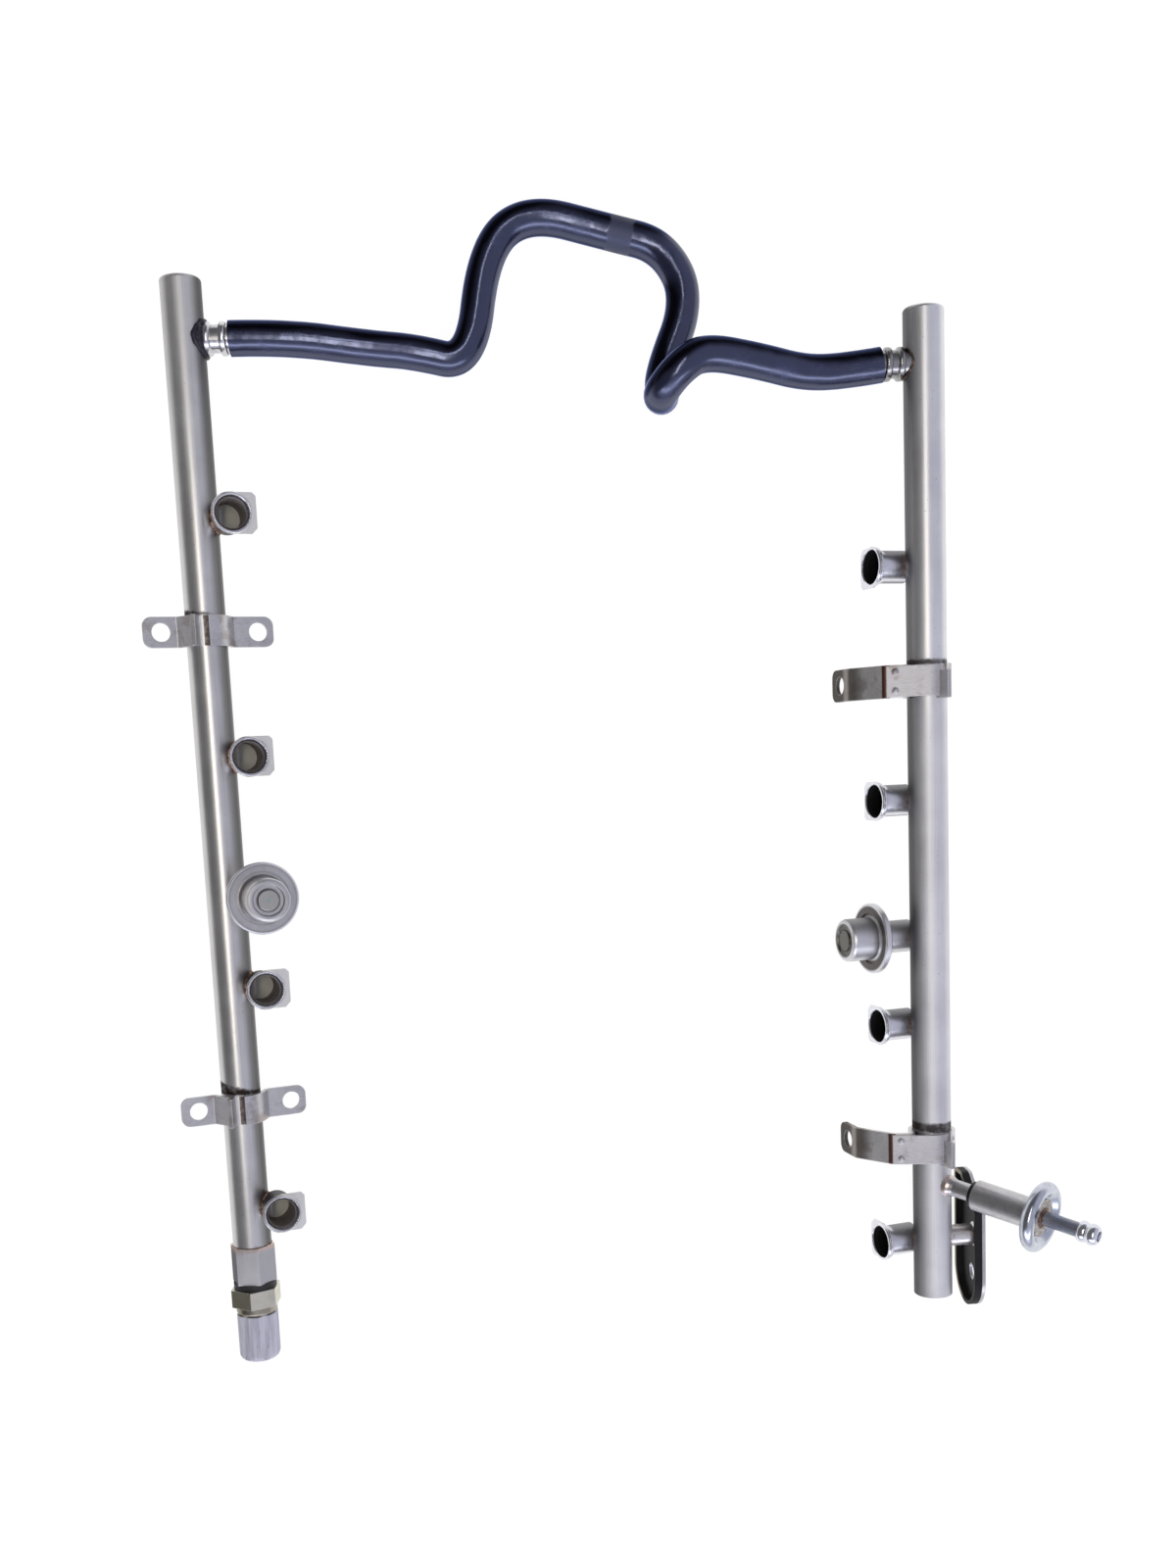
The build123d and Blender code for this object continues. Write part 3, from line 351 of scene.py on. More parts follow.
def cup_joint(side, station, offset, body, base):
    """The line where a cup's or a damper's wall meets the tube, above its floor."""
    points = []
    turn = math.acos((TUBE_RADIUS * 0.985 - offset) / body)
    for number in range(41):
        angle = turn + (2 * math.pi - 2 * turn) * number / 40
        x = offset + body * math.cos(angle)
        z = math.sqrt(max(TUBE_RADIUS ** 2 - x * x, 0.0))
        if z >= base:
            points.append(rail_point(side, station, x, body * math.sin(angle), z))
    return points


braze_copper, shader, place = finish_for("copper braze")
blotch = place.noise(0.6, 4.0)
braze_colour = blotch.between(0.38, 0.6).blend(BRAZE_DARK, BRAZE)
connect(shader, Base_Color=braze_colour, Roughness=0.28 + blotch * 0.25, Metallic=0.8)
bumped(shader, place.noise(1.4, 3.0), 0.12)

for side, looks in CUP_LOOKS.items():
    cup_steel, shader, place = finish_for(f"{side} cup steel")
    worn = tuple(part * 0.8 for part in looks["steel"])
    base, lines, blotch = steel_skin(place, (0.5, 0.5, 0.5), looks["steel"], worn, 0.25)
    across, station, out = rail_space(place, side)
    radius = from_cup(across, station)
    mouth = CUP_MOUTH - looks["ring"]
    funnel = radius - out.math("MAXIMUM", out - CUP_FLARE, 0.0) * 0.55
    inside = 1.0 - funnel.between(CUP_BORE + 0.2, CUP_BORE + 0.5)
    inside = inside * (1.0 - out.between(mouth - 0.3, mouth + 0.3))
    deep = inside * (1.0 - out.between(CUP_FLOOR + 1.0, CUP_MOUTH - 6.0))
    floor_mark = (1.0 - out.between(CUP_FLOOR + 0.1, CUP_FLOOR + 0.4)) * inside
    lip = out.between(CUP_MOUTH - 1.7, CUP_MOUTH - 1.2)
    seam = 1.0 - (out + place.noise(0.9, 2.0) * 2.0).between(looks["seam"] - 3.5, looks["seam"])
    soft, rubbed = edge_wear(place, 0.35)
    # Inside the bore: darker walls, and painted shade that darkens them towards the floor.
    base = (inside * 0.9).blend(base, looks["wall"])
    base = (deep * 0.6).blend(base, looks["deep"])
    # Painted light: the left cups' floors are lightened against the shade of the cup's wall; the right
    # cups' floors are near black, as painted shade.
    base = (floor_mark * 0.85).blend(base, looks["floor"])
    # Painted highlight: a pale streak on the floor where the tube bulges into the cup.
    nearer = across - CUP_OFFSET
    beside = radius * radius - nearer * nearer
    beside = beside.math("MAXIMUM", beside, 0.0) ** 0.5
    painted_stripe_highlight = floor_mark * (1.0 - abs(nearer + 2.4).between(0.4, 0.7)) * (1.0 - beside.between(4.0, 4.8))
    base = (painted_stripe_highlight * 0.8).blend(base, looks["painted_stripe_highlight"])
    base = (seam * (1.0 - inside) * 0.45).blend(base, HEAT_TINT)
    flange = radius.between(CUP_FLANGE, CUP_FLANGE + 0.3)
    base = (flange * 0.7).blend(base, looks["flange"])
    lengthwise = facing(place, "Y")
    body = (1.0 - inside) * (1.0 - out.between(CUP_MOUTH - 6.0, CUP_MOUTH - 4.0)) * (1.0 - flange)
    upper = lengthwise.between(looks["upper_from"], looks["upper_from"] + 0.6)
    shaded = upper.math("MAXIMUM", upper, (0.0 - lengthwise).between(0.86, 0.98)) * body
    base = (shaded * 0.85).blend(base, looks["upper"])
    base = (rubbed * (1.0 - inside) * 0.8).blend(base, (0.90, 0.90, 0.93))
    rough = 0.22 + blotch * 0.12 + lines * 0.05 + inside * (0.12 + looks["dull"] * 0.4)
    rough = rough - lip * 0.1 + shaded * 0.25 + flange * 0.12
    metal = 0.95 - inside * looks["dull"] - floor_mark * 0.45
    connect(shader, Base_Color=base, Roughness=rough, Metallic=metal)
    # Painted shade: a black diffuse is mixed in over the inside of the bore, nearly all of it in the
    # right cups.
    steel = Signal(place.tree, shader.outputs[0])
    black = place.node("ShaderNodeBsdfDiffuse", {}, {"Color": (0.004, 0.004, 0.004, 1.0)})
    shaded_inside = place.node("ShaderNodeMixShader", {}, {0: inside * looks["inside_shade"], 1: steel, 2: black})
    place.tree.links.new(shaded_inside.socket, place.tree.nodes["Material Output"].inputs["Surface"])
    bumped(shader, lines * 0.5 + place.noise(0.25, 2.0), 0.02, soft)
    dress([f"{side}_injector_cup_{number + 1}" for number in range(4)], cup_steel)
    for number in range(4):
        points = cup_joint(side, CUP_PITCH * number, CUP_OFFSET, CUP_BODY, CUP_BASE)
        bead(f"{side}_cup_braze_{number + 1}", points, looks["braze"], braze_copper, closed=False)


# Pulsation dampers. One on each rail: a spun shell on a neck, its rim rolled over the
# flange of a hat-shaped cover that is dished round a centre button. The spinning left
# fine rings on them.
DAMPER_OFFSET = 13.3
NECK_RADIUS = 8.0
NECK_BASE = 3.0
DAMPER_STATIONS = {"left": 179.0, "right": 179.3}
DAMPER_FACE = 39.9
BUTTON_RADIUS = 4.6
BUTTON_GROOVE = 5.3
HAT_FOOT = 10.9
RIM_LINE = 15.9
for side, damper_at in DAMPER_STATIONS.items():
    damper_steel, shader, place = finish_for(f"{side} spun damper")
    spun, worn = (0.60, 0.59, 0.60), (0.49, 0.48, 0.485)
    base, lines, blotch = steel_skin(place, (0.4, 0.4, 0.4), spun, worn, 0.25)
    across, station, out = rail_space(place, side)
    beside = station - damper_at
    radius = ((across - DAMPER_OFFSET) ** 2.0 + beside * beside) ** 0.5
    lathe_marks = radius.node("ShaderNodeCombineXYZ", {}, {0: radius, 1: out * 0.8})
    rings = lathe_marks.noise(1.6, 3.0, 0.6)
    soft, rubbed = edge_wear(place, 0.4)
    base = (rings.between(0.35, 0.65) * 0.35).blend(base, (0.36, 0.35, 0.35))
    front = out.between(DAMPER_FACE - 2.4, DAMPER_FACE - 1.6)
    button = front * (1.0 - radius.between(BUTTON_RADIUS, BUTTON_RADIUS + 0.4))
    groove = front * (1.0 - abs(radius - BUTTON_GROOVE).between(0.3, 0.7))
    base = (button * 0.5).blend(base, (0.36, 0.355, 0.30))
    base = (groove * 0.7).blend(base, (0.06, 0.055, 0.055))
    rough = 0.27 + rings * 0.12 + blotch * 0.08
    rim_line = 1.0 - abs(radius - RIM_LINE).between(0.15, 0.5)
    base = (rim_line * 0.45).blend(base, (0.20, 0.19, 0.19))
    base = (radius.between(RIM_LINE + 0.2, RIM_LINE + 0.7) * 0.6).blend(base, (0.86, 0.86, 0.90))
    if side == "left":
        paint_dot = button * (1.0 - radius.between(0.5, 1.3))
        base = (paint_dot * 0.55).blend(base, (0.22, 0.44, 0.41))
    else:
        # The front face and the rim round the hat are darkened.
        dark_face = front * (1.0 - radius.between(8.2, 8.8))
        dark_rim = radius.between(HAT_FOOT, HAT_FOOT + 0.7)
        dark_rim = dark_rim * (1.0 - radius.between(RIM_LINE - 0.5, RIM_LINE + 0.3))
        base = (dark_face * 0.8).blend(base, (0.06, 0.055, 0.04))
        base = (dark_rim * 0.85).blend(base, (0.075, 0.062, 0.055))
        lengthwise = facing(place, "Y")
        hat = (1.0 - dark_face) * (1.0 - radius.between(HAT_FOOT, HAT_FOOT + 0.7))
        upper, under = lengthwise.between(0.1, 0.8), (0.0 - lengthwise).between(0.90, 0.99)
        shaded = upper.math("MAXIMUM", upper, under) * hat
        base = (hat * 0.5).blend(base, (0.86, 0.86, 0.90))
        base = (shaded * 0.6).blend(base, (0.20, 0.19, 0.185))
        rough = rough + shaded * 0.2 + dark_rim * 0.15
    base = (rubbed * 0.7).blend(base, (0.80, 0.79, 0.80))
    connect(shader, Base_Color=base, Metallic=0.92, Roughness=rough)
    bumped(shader, rings, 0.02, soft)
    dress([f"{side}_damper_shell", f"{side}_damper_cover"], damper_steel)
    points = cup_joint(side, damper_at, DAMPER_OFFSET, NECK_RADIUS, NECK_BASE)
    bead(f"{side}_damper_braze", points, 0.5, braze_copper, closed=False)

spring_steel, shader, place = finish_for("spring steel")
base, lines, blotch = steel_skin(place, (0.8, 0.8, 0.8), (0.36, 0.36, 0.38), (0.24, 0.24, 0.25), 0.2)
connect(shader, Base_Color=base, Roughness=0.35 + blotch * 0.1, Metallic=0.9)
for side in RAILS:
    dress([f"{side}_damper_{part}" for part in ("diaphragm", "spring", "spring_seat")], spring_steel)


# Hose spigots. A bright nipple with two round beads is brazed into each rail; on the left
# one the braze is a dark lump, and on the right one a thin brown line.
SPIGOTS = {
    "left": {
        "station": -81.3, "base": 7.6, "braze": 1.35, "bead": 9.4, "hose": 21.1,
        "steel": (0.74, 0.74, 0.77),
    },
    "right": {
        "station": -91.2, "base": 7.0, "braze": 0.35, "bead": 9.9, "hose": 20.325,
        "steel": (0.36, 0.355, 0.36),
    },
}
SPIGOT_NECK = 6.3
SPIGOT_BEAD = 7.6
SPIGOT_BEAD_WIDTH = 3.2
BEAD_ROUND = (
    (0.0, 0.0), (0.02, 0.55), (0.12, 0.85), (0.3, 1.0),
    (0.7, 1.0), (0.88, 0.85), (0.98, 0.55), (1.0, 0.0),
)
SPIGOT_HOSE_GAP = 1.2


def turned(name, start, way, profile, material, smooth=50.0):
    """A turned piece: a cylinder whose end is drawn out through (distance, radius) pairs in mm."""
    at, radius = profile[0]
    first = profile[1][0]
    bpy.ops.object.select_all(action="DESELECT")
    bpy.ops.mesh.primitive_cylinder_add(
        vertices=72,
        radius=radius * MM,
        depth=(first - at) * MM,
        location=start + way * (at + first) / 2 * MM,
        rotation=way.to_track_quat("Z", "Y").to_euler(),
    )
    piece = bpy.context.object
    piece.name = name
    bpy.ops.object.transform_apply(location=True, rotation=True, scale=True)
    bpy.ops.object.mode_set(mode="EDIT")
    bpy.ops.mesh.select_mode(type="FACE")
    bpy.ops.mesh.select_all(action="DESELECT")
    bpy.ops.object.mode_set(mode="OBJECT")
    max(piece.data.polygons, key=lambda face: face.center.dot(way)).select = True
    bpy.ops.object.mode_set(mode="EDIT")
    at, width = first, radius
    for distance, radius in profile[1:]:
        middle = start + way * distance * MM
        if distance != at or radius != width:
            bpy.ops.mesh.extrude_region_move(TRANSFORM_OT_translate={"value": way * (distance - at) * MM})
            bpy.ops.transform.resize(value=(radius / width,) * 3, center_override=middle)
        at, width = distance, radius
    bpy.ops.object.mode_set(mode="OBJECT")
    piece.data.materials.append(material)
    bpy.ops.object.shade_smooth_by_angle(angle=math.radians(smooth))
    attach(piece, "root")
    return piece


for side, spigot in SPIGOTS.items():
    bright_steel, shader, place = finish_for(f"{side} bright plated steel")
    worn = tuple(part * 0.8 for part in spigot["steel"])
    base, lines, blotch = steel_skin(place, (0.6, 0.6, 0.6), spigot["steel"], worn, 0.2)
    soft, rubbed = edge_wear(place, 0.3)
    grime = place.noise(0.35, 3.0).between(0.5, 0.66)
    base = (grime * 0.35).blend(base, (0.28, 0.25, 0.22))
    base = (rubbed * 0.6).blend(base, tuple(part * 0.3 + 0.62 for part in spigot["steel"]))
    connect(shader, Base_Color=base, Roughness=0.17 + blotch * 0.1, Metallic=1.0)
    bumped(shader, lines, 0.004, soft)
    profile = [(TUBE_RADIUS - 3.0, SPIGOT_NECK)]
    for bead_at in (spigot["bead"], spigot["hose"] - SPIGOT_HOSE_GAP - SPIGOT_BEAD_WIDTH):
        for share, out in BEAD_ROUND:
            radius = SPIGOT_NECK + (SPIGOT_BEAD - SPIGOT_NECK) * out
            profile.append((bead_at + share * SPIGOT_BEAD_WIDTH, radius))
    profile.append((spigot["hose"] + 0.4, SPIGOT_NECK))
    rail = RAILS[side]
    root = Vector((rail["x"] + CENTRE_X, rail["y"] - spigot["station"] + CENTRE_Y, rail["z"])) * MM
    inward = Vector((rail["turn"], 0.0, 0.0))
    nipple = turned(f"{side}_spigot_nipple", root, inward, profile, bright_steel)
    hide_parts(f"{side}_hose_spigot")

tarry_braze, shader, place = finish_for("dark braze")
tarry = place.noise(0.8).blend((0.008, 0.008, 0.016), (0.035, 0.03, 0.05))
connect(shader, Base_Color=tarry, Roughness=0.4, Metallic=0.3)
bumped(shader, place.noise(0.9, 4.0), 0.5)
for side, spigot in SPIGOTS.items():
    rail = RAILS[side]
    points = []
    for number in range(48):
        angle = 2 * math.pi * number / 48
        up = spigot["base"] * math.sin(angle)
        inward = math.sqrt(TUBE_RADIUS ** 2 - up * up) + 0.2
        points.append(Vector((
            (rail["x"] + rail["turn"] * inward + CENTRE_X) * MM,
            (rail["y"] - spigot["station"] + spigot["base"] * math.cos(angle) + CENTRE_Y) * MM,
            (rail["z"] + up) * MM,
        )))
    filler = tarry_braze if side == "left" else braze_copper
    if side == "left":
        lump = [(5.5, 8.3), (8.3, 8.5), (8.9, 8.2), (9.5, 7.4), (9.8, 6.4), (9.8, 5.0)]
        root = Vector((rail["x"] + CENTRE_X, rail["y"] - spigot["station"] + CENTRE_Y, rail["z"])) * MM
        turned("left_spigot_lump", root, Vector((1.0, 0.0, 0.0)), lump, filler)
    bead(f"{side}_spigot_braze", points, spigot["braze"], filler, swell=0.3)


# Crossover hose. One moulded black hose joins the rails' spigots: out to the middle, up
# round a loop, down, and over its own leg. It is smooth and dark with a blue cast, matt
# where a label was taken off, and scuffed at its right end. Its sides that face away from
# the light, and its undersides, are painted near black as shade.
HOSE_DIAMETER = 0.016
HOSE_ROUTE = [
    (21.1, 81.3, 12.7),
    (46.325, 81.3, 12.7),
    (86.6, 75.5, 10.6),
    (105.7, 74.0, 9.0),
    (132.5, 67.3, 8.4),
    (141.1, 119.2, 8.4),
    (162.2, 135.5, 8.4),
    (200.2, 124.9, 8.6),
    (225.3, 118.3, 8.6),
    (237.3, 94.3, 8.6),
    (222.0, 59.6, 9.0),
    (222.4, 47.7, 15.0),
    (218.8, 45.9, 31.0),
    (228.0, 56.0, 38.0),
    (239.8, 63.4, 35.5),
    (266.0, 59.1, 31.5),
    (287.0, 54.3, 27.6),
    (306.0, 54.6, 26.6),
    (323.675, 57.0, 26.6),
]
hose_plastic, shader, place = finish_for("moulded hose")
across = place.axis("X") - CENTRE_X
down = place.axis("Y") - CENTRE_Y
ragged = place.noise(0.4, 3.0)
along_loop = (across - 204.8) * 0.966 - (down - 122.0) * 0.26
label = (1.0 - (abs(along_loop) + ragged * 2.0).between(5.6, 7.4)) * down.between(100.0, 108.0)
worn_end = place.stretched((0.25, 1.4, 1.4)).noise(1.0, 3.0).between(0.52, 0.62)
worn_end = across.between(296.0, 322.0) * worn_end
scuff = place.noise(0.1, 4.0, 0.6).between(0.50, 0.68)
skin = place.noise(1.3, 3.0)
# Painted shade: the sides that face +Y and -X, away from the light, and the undersides are made near
# black.
leans = facing(place, "Y") * 0.85 - facing(place, "X") * 0.5 + place.noise(0.05, 2.0) * 0.5
painted_dark_side = leans.between(0.28, 0.62)
painted_dark_side = painted_dark_side.math("MAXIMUM", painted_dark_side, 1.0 - facing(place, "Z").between(0.05, 0.4)) * (1.0 - label)
base = (scuff * 0.6).blend((0.008, 0.009, 0.026), (0.020, 0.022, 0.065))
base = (label * 0.8 + worn_end * 0.6).blend(base, (0.030, 0.031, 0.055))
base = painted_dark_side.blend(base, (0.006, 0.006, 0.013))
connect(
    shader,
    Base_Color=base,
    Roughness=0.17 + scuff * 0.12 + label * 0.35 + worn_end * 0.25 + skin * 0.05,
    Metallic=painted_dark_side * 0.93,
    IOR=2.0,
    Specular_Tint=(0.60, 0.66, 1.0, 1.0),
)
bumped(shader, skin * 0.05 + place.noise(0.07, 2.0) * 6.0, 0.06)
line = bpy.data.curves.new("crossover_hose_skin", "CURVE")
line.dimensions = "3D"
line.bevel_depth = HOSE_DIAMETER / 2
line.bevel_resolution = 10
line.resolution_u = 32
line.use_fill_caps = True
spline = line.splines.new("NURBS")
spline.points.add(len(HOSE_ROUTE) - 1)
for point, (x, y, z) in zip(spline.points, HOSE_ROUTE):
    point.co = ((x + CENTRE_X) * MM, (y + CENTRE_Y) * MM, z * MM, 1.0)
spline.order_u = 3
spline.use_endpoint_u = True
hose = bpy.data.objects.new("crossover_hose_skin", line)
bpy.context.scene.collection.objects.link(hose)
line.materials.append(hose_plastic)
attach(hose, "root")
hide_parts("crossover_hose")


# Brackets. Pressed steel straps, wrapped round the rails and spot-welded, with bolt ears.
# Their cut edges are rubbed bright, and the weld heat left brown marks near the tubes. The
# outer and inner straps' faces that lean towards the dark side are made less metallic, as
# painted light. The right base straps curve up from a dark ear to the saddle, with painted
# shade on the rise and a brown line at the lap.
BRACKET_LOOKS = {
    "outer_strap": {"steel": (0.60, 0.59, 0.60), "rough": 0.26, "edge": 0.45},
    "inner_strap": {"steel": (0.60, 0.59, 0.60), "rough": 0.26, "edge": 0.45},
    "base_strap": {"steel": (0.86, 0.84, 0.83), "rough": 0.32, "edge": 0.6},
    "bracket_saddle": {"steel": (0.62, 0.61, 0.63), "rough": 0.40, "edge": 0.6},
    "foot_stub": {"steel": (0.74, 0.72, 0.73), "rough": 0.22, "edge": 0.4},
}
STRAP_EAR_END = 306.0
STRAP_LAP = 321.4
for kind, looks in BRACKET_LOOKS.items():
    bracket_steel, shader, place = finish_for(kind + " steel")
    worn = tuple(part * 0.78 for part in looks["steel"])
    base, lines, blotch = steel_skin(place, (0.3, 1.3, 0.9), looks["steel"], worn, 0.3)
    soft, rubbed = edge_wear(place, looks["edge"])
    hot = place.noise(0.12, 3.0).between(0.52, 0.66)
    base = (hot * 0.45).blend(base, (0.30, 0.22, 0.18))
    relief = lines * 0.6 + place.noise(0.15, 2.0) * 1.5 + place.noise(0.05, 1.0) * 8.0
    dust_and_side_light = place.noise(0.2, 2.0) * 0.05
    if kind in ("outer_strap", "inner_strap"):
        # Painted light: faces leaning towards -X, the dark side, are made less metallic so that they show
        # lighter.
        dust_and_side_light = dust_and_side_light + (0.0 - facing(place, "X")).between(0.12, 0.4) * 0.55
    if kind == "base_strap":
        reach = (place.axis("X") - (STRAP_EAR_END + CENTRE_X)) / (STRAP_LAP - STRAP_EAR_END)
        along = reach.math("MINIMUM", reach.math("MAXIMUM", reach, 0.0), 1.1)
        ear = 1.0 - along.between(0.0, 0.06)
        dust_and_side_light = dust_and_side_light + ear * 0.75
        # Painted shade: the rise is darkened from the ear to its middle, fading towards the lap, so that
        # the flat strap looks curved.
        painted_hollow_shade = 1.0 - along.between(0.25, 0.6)
        base = (painted_hollow_shade * 0.85).blend(base, (0.17, 0.145, 0.125))
        base = ear.blend(base, (0.10, 0.085, 0.072))
        lap = reach.between(0.96, 0.99) * (1.0 - reach.between(1.17, 1.21))
        base = (lap * facing(place, "Z").between(0.3, 0.5)).blend(base, (0.12, 0.06, 0.045))
        relief = relief - along * along * 150.0
    base = (rubbed * 0.85).blend(base, (0.88, 0.88, 0.89))
    rough = blotch * 0.12 + lines * 0.06 + dust_and_side_light * 0.3 + looks["rough"]
    connect(shader, Base_Color=base, Metallic=0.93 - dust_and_side_light, Roughness=rough)
    bumped(shader, relief, 0.02, soft)
    dress([name for name in nodes if name.endswith(kind)], bracket_steel)


# Foot bracket. A pressed plate with a turned-in rim stands beside the right rail. Its
# inner face, inside the rim, is painted near black as shade.
FOOT_INNER_FACE = 366.5
FOOT_RIM_EDGE = 363.1
foot_steel, shader, place = finish_for("shaded foot plate")
base, lines, blotch = steel_skin(place, (0.9, 0.4, 0.4), (0.60, 0.59, 0.60), (0.47, 0.46, 0.47), 0.3)
soft, rubbed = edge_wear(place, 0.5)
inward = place.axis("X") - (FOOT_RIM_EDGE + CENTRE_X)
inner_depth = FOOT_INNER_FACE - FOOT_RIM_EDGE
# Painted shade: the inner face inside the rim is made near black.
painted_inner_shade = 1.0 - inward.between(inner_depth + 0.2, inner_depth + 0.5)
rim_line = (1.0 - inward.between(0.1, 0.4)) * (1.0 - place.axis("Z").between(10.0, 16.0))
base = (painted_inner_shade * 0.97).blend(base, (0.010, 0.009, 0.010))
base = (rim_line * 0.8).blend(base, (0.42, 0.38, 0.30))
base = (rubbed * (1.0 - painted_inner_shade) * 0.8).blend(base, (0.85, 0.85, 0.86))
connect(shader, Base_Color=base, Metallic=0.85, Roughness=0.3 + blotch * 0.12 + painted_inner_shade * 0.25)
bumped(shader, lines * 0.6 + place.noise(0.15, 2.0) * 1.5, 0.02, soft)
dress(["foot_bracket"], foot_steel)


# Bottom fitting. A long hexagon brazed into the left rail, a black seal, a yellow plated nut
# with a round collar, and a pale fluted plastic cap over the thread. The side facets of the
# hexagon and of the nut are painted darker as shade.
HEX_TOP = 354.9
COLLAR_TOP = 386.1


def down_left_rail(place):
    """Station down the left rail."""
    return CENTRE_Y - place.axis("Y")


hex_steel, shader, place = finish_for("hexagon steel")
base, lines, blotch = steel_skin(place, (0.3, 0.08, 0.3), (0.95, 0.93, 0.96), (0.84, 0.82, 0.86), 0.2)
soft, rubbed = edge_wear(place, 0.3)
sideways = facing(place, "X")
# Painted shade: the side facets are darkened, the one facing -X most.
base = (sideways.between(0.3, 0.6) * 0.8).blend(base, (0.26, 0.26, 0.30))
painted_far_shade = (0.0 - sideways).between(0.4, 0.7)
base = (painted_far_shade * 0.9).blend(base, (0.08, 0.075, 0.085))
coppery = down_left_rail(place) + place.noise(0.35, 3.0) * 5.0
coppery = 1.0 - coppery.between(HEX_TOP + 2.6, HEX_TOP + 6.0)
base = (coppery * 0.5).blend(base, (0.70, 0.46, 0.36))
base = (rubbed * 0.7).blend(base, (0.88, 0.87, 0.87))
connect(shader, Base_Color=base, Metallic=0.92, Roughness=0.28 + blotch * 0.1 + painted_far_shade * 0.35)
bumped(shader, lines, 0.02, soft)
dress(["hex_adapter"], hex_steel)

seal_rubber, shader, place = finish_for("seal rubber")
black_rubber = place.noise(0.6).blend((0.008, 0.008, 0.009), (0.022, 0.02, 0.02))
connect(shader, Base_Color=black_rubber, Roughness=0.55)
bumped(shader, place.noise(2.0, 3.0), 0.04)
dress(["adapter_seal_ring"], seal_rubber)

nut_plating, shader, place = finish_for("yellow plated nut")
base, lines, blotch = steel_skin(place, (0.2, 0.2, 0.2), (0.72, 0.69, 0.58), (0.58, 0.55, 0.44), 0.25)
soft, rubbed = edge_wear(place, 0.5)
sideways = facing(place, "X")
# Painted shade: the facets facing -X are darkened.
base = ((0.0 - sideways).between(0.2, 0.5) * 0.7).blend(base, (0.22, 0.20, 0.13))
chipped = rubbed * place.noise(0.7, 2.0).between(0.40, 0.52)
on_collar = down_left_rail(place).between(COLLAR_TOP - 0.1, COLLAR_TOP + 0.1)
base = (on_collar * 0.6).blend(base, (0.20, 0.17, 0.14))
base = (chipped * 0.9).blend(base, (0.90, 0.89, 0.85))
connect(shader, Base_Color=base, Metallic=0.9, Roughness=0.24 + blotch * 0.12)
bumped(shader, lines + blotch, 0.015, soft)
dress(["union_nut"], nut_plating)

cap_plastic, shader, place = finish_for("pale cap plastic")
streaks = place.stretched((0.45, 0.03, 0.45)).noise(1.0, 3.0)
dirt = place.stretched((1.0, 0.25, 1.0)).noise(0.6, 3.0).between(0.66, 0.72)
base = streaks.between(0.34, 0.60).blend((0.46, 0.455, 0.53), (0.62, 0.615, 0.70))
base = (dirt * 0.7).blend(base, (0.12, 0.09, 0.09))
connect(shader, Base_Color=base, Roughness=0.30 + streaks * 0.1)
bumped(shader, streaks, 0.04)
dress(["thread_cap"], cap_plastic)


def ring(name, centre, way, radius, size, material):
    """An uneven round bead about an axis, its centre given in the layout's millimetres."""
    side_way = way.orthogonal().normalized()
    up_way = way.cross(side_way)
    middle = Vector(centre) + Vector((CENTRE_X, CENTRE_Y, 0.0))
    points = []
    for number in range(56):
        angle = 2 * math.pi * number / 56
        points.append((middle + radius * (math.cos(angle) * side_way + math.sin(angle) * up_way)) * MM)
    return bead(name, points, size, material)


ring("hex_braze", (0.0, -HEX_TOP, 12.7), Vector((0.0, -1.0, 0.0)), 9.6, 0.3, braze_copper)


# Side take-off. A stem brazed to the right rail carries a sleeve, a thick rolled disc and
# a nipple with two beads. The disc and the beads are bright, and the nipple is dull.
TAKEOFF_ROOT = (344.0, -337.0, 26.6)
TAKEOFF_RISE = math.radians(45.0)
TAKEOFF_LEAN = math.radians(8.5)
TAKEOFF_WAY = Vector((
    math.cos(TAKEOFF_RISE) * math.cos(TAKEOFF_LEAN),
    -math.sin(TAKEOFF_LEAN),
    math.sin(TAKEOFF_RISE) * math.cos(TAKEOFF_LEAN),
))
SLEEVE_START = 22.5
SLEEVE_END = 58.3
NIPPLE_BEADS = 77.8


def up_takeoff(place):
    """Distance up the take-off's axis from the rail's axis."""
    x, y, z = TAKEOFF_ROOT
    moved = place.stretched((1.0, 1.0, 1.0), move=(-x - CENTRE_X, -y - CENTRE_Y, -z))
    inputs = {0: moved, 1: tuple(TAKEOFF_WAY)}
    return moved.node("ShaderNodeVectorMath", {"operation": "DOT_PRODUCT"}, inputs, 1)


takeoff_steel, shader, place = finish_for("take-off steel")
base, lines, blotch = steel_skin(place, (0.5, 0.5, 0.5), (0.60, 0.59, 0.61), (0.46, 0.45, 0.46), 0.3)
up = up_takeoff(place)
soft, rubbed = edge_wear(place, 0.3)
pink = 1.0 - (up + place.noise(0.5, 3.0) * 2.0).between(11.6, 12.8)
# Painted shadow: a near-black ring where the sleeve starts.
groove = 1.0 - abs(up - SLEEVE_START - 0.8).between(1.3, 1.8)
base = (pink * 0.6).blend(base, (0.85, 0.66, 0.62))
base = (groove * 0.95).blend(base, (0.02, 0.018, 0.018))
base = (rubbed * 0.6).blend(base, (0.86, 0.86, 0.87))
connect(shader, Base_Color=base, Metallic=0.93, Roughness=0.24 + blotch * 0.12)
bumped(shader, lines * 0.6 + place.noise(0.2, 2.0), 0.02, soft)
dress(["takeoff_stem", "takeoff_sleeve"], takeoff_steel)

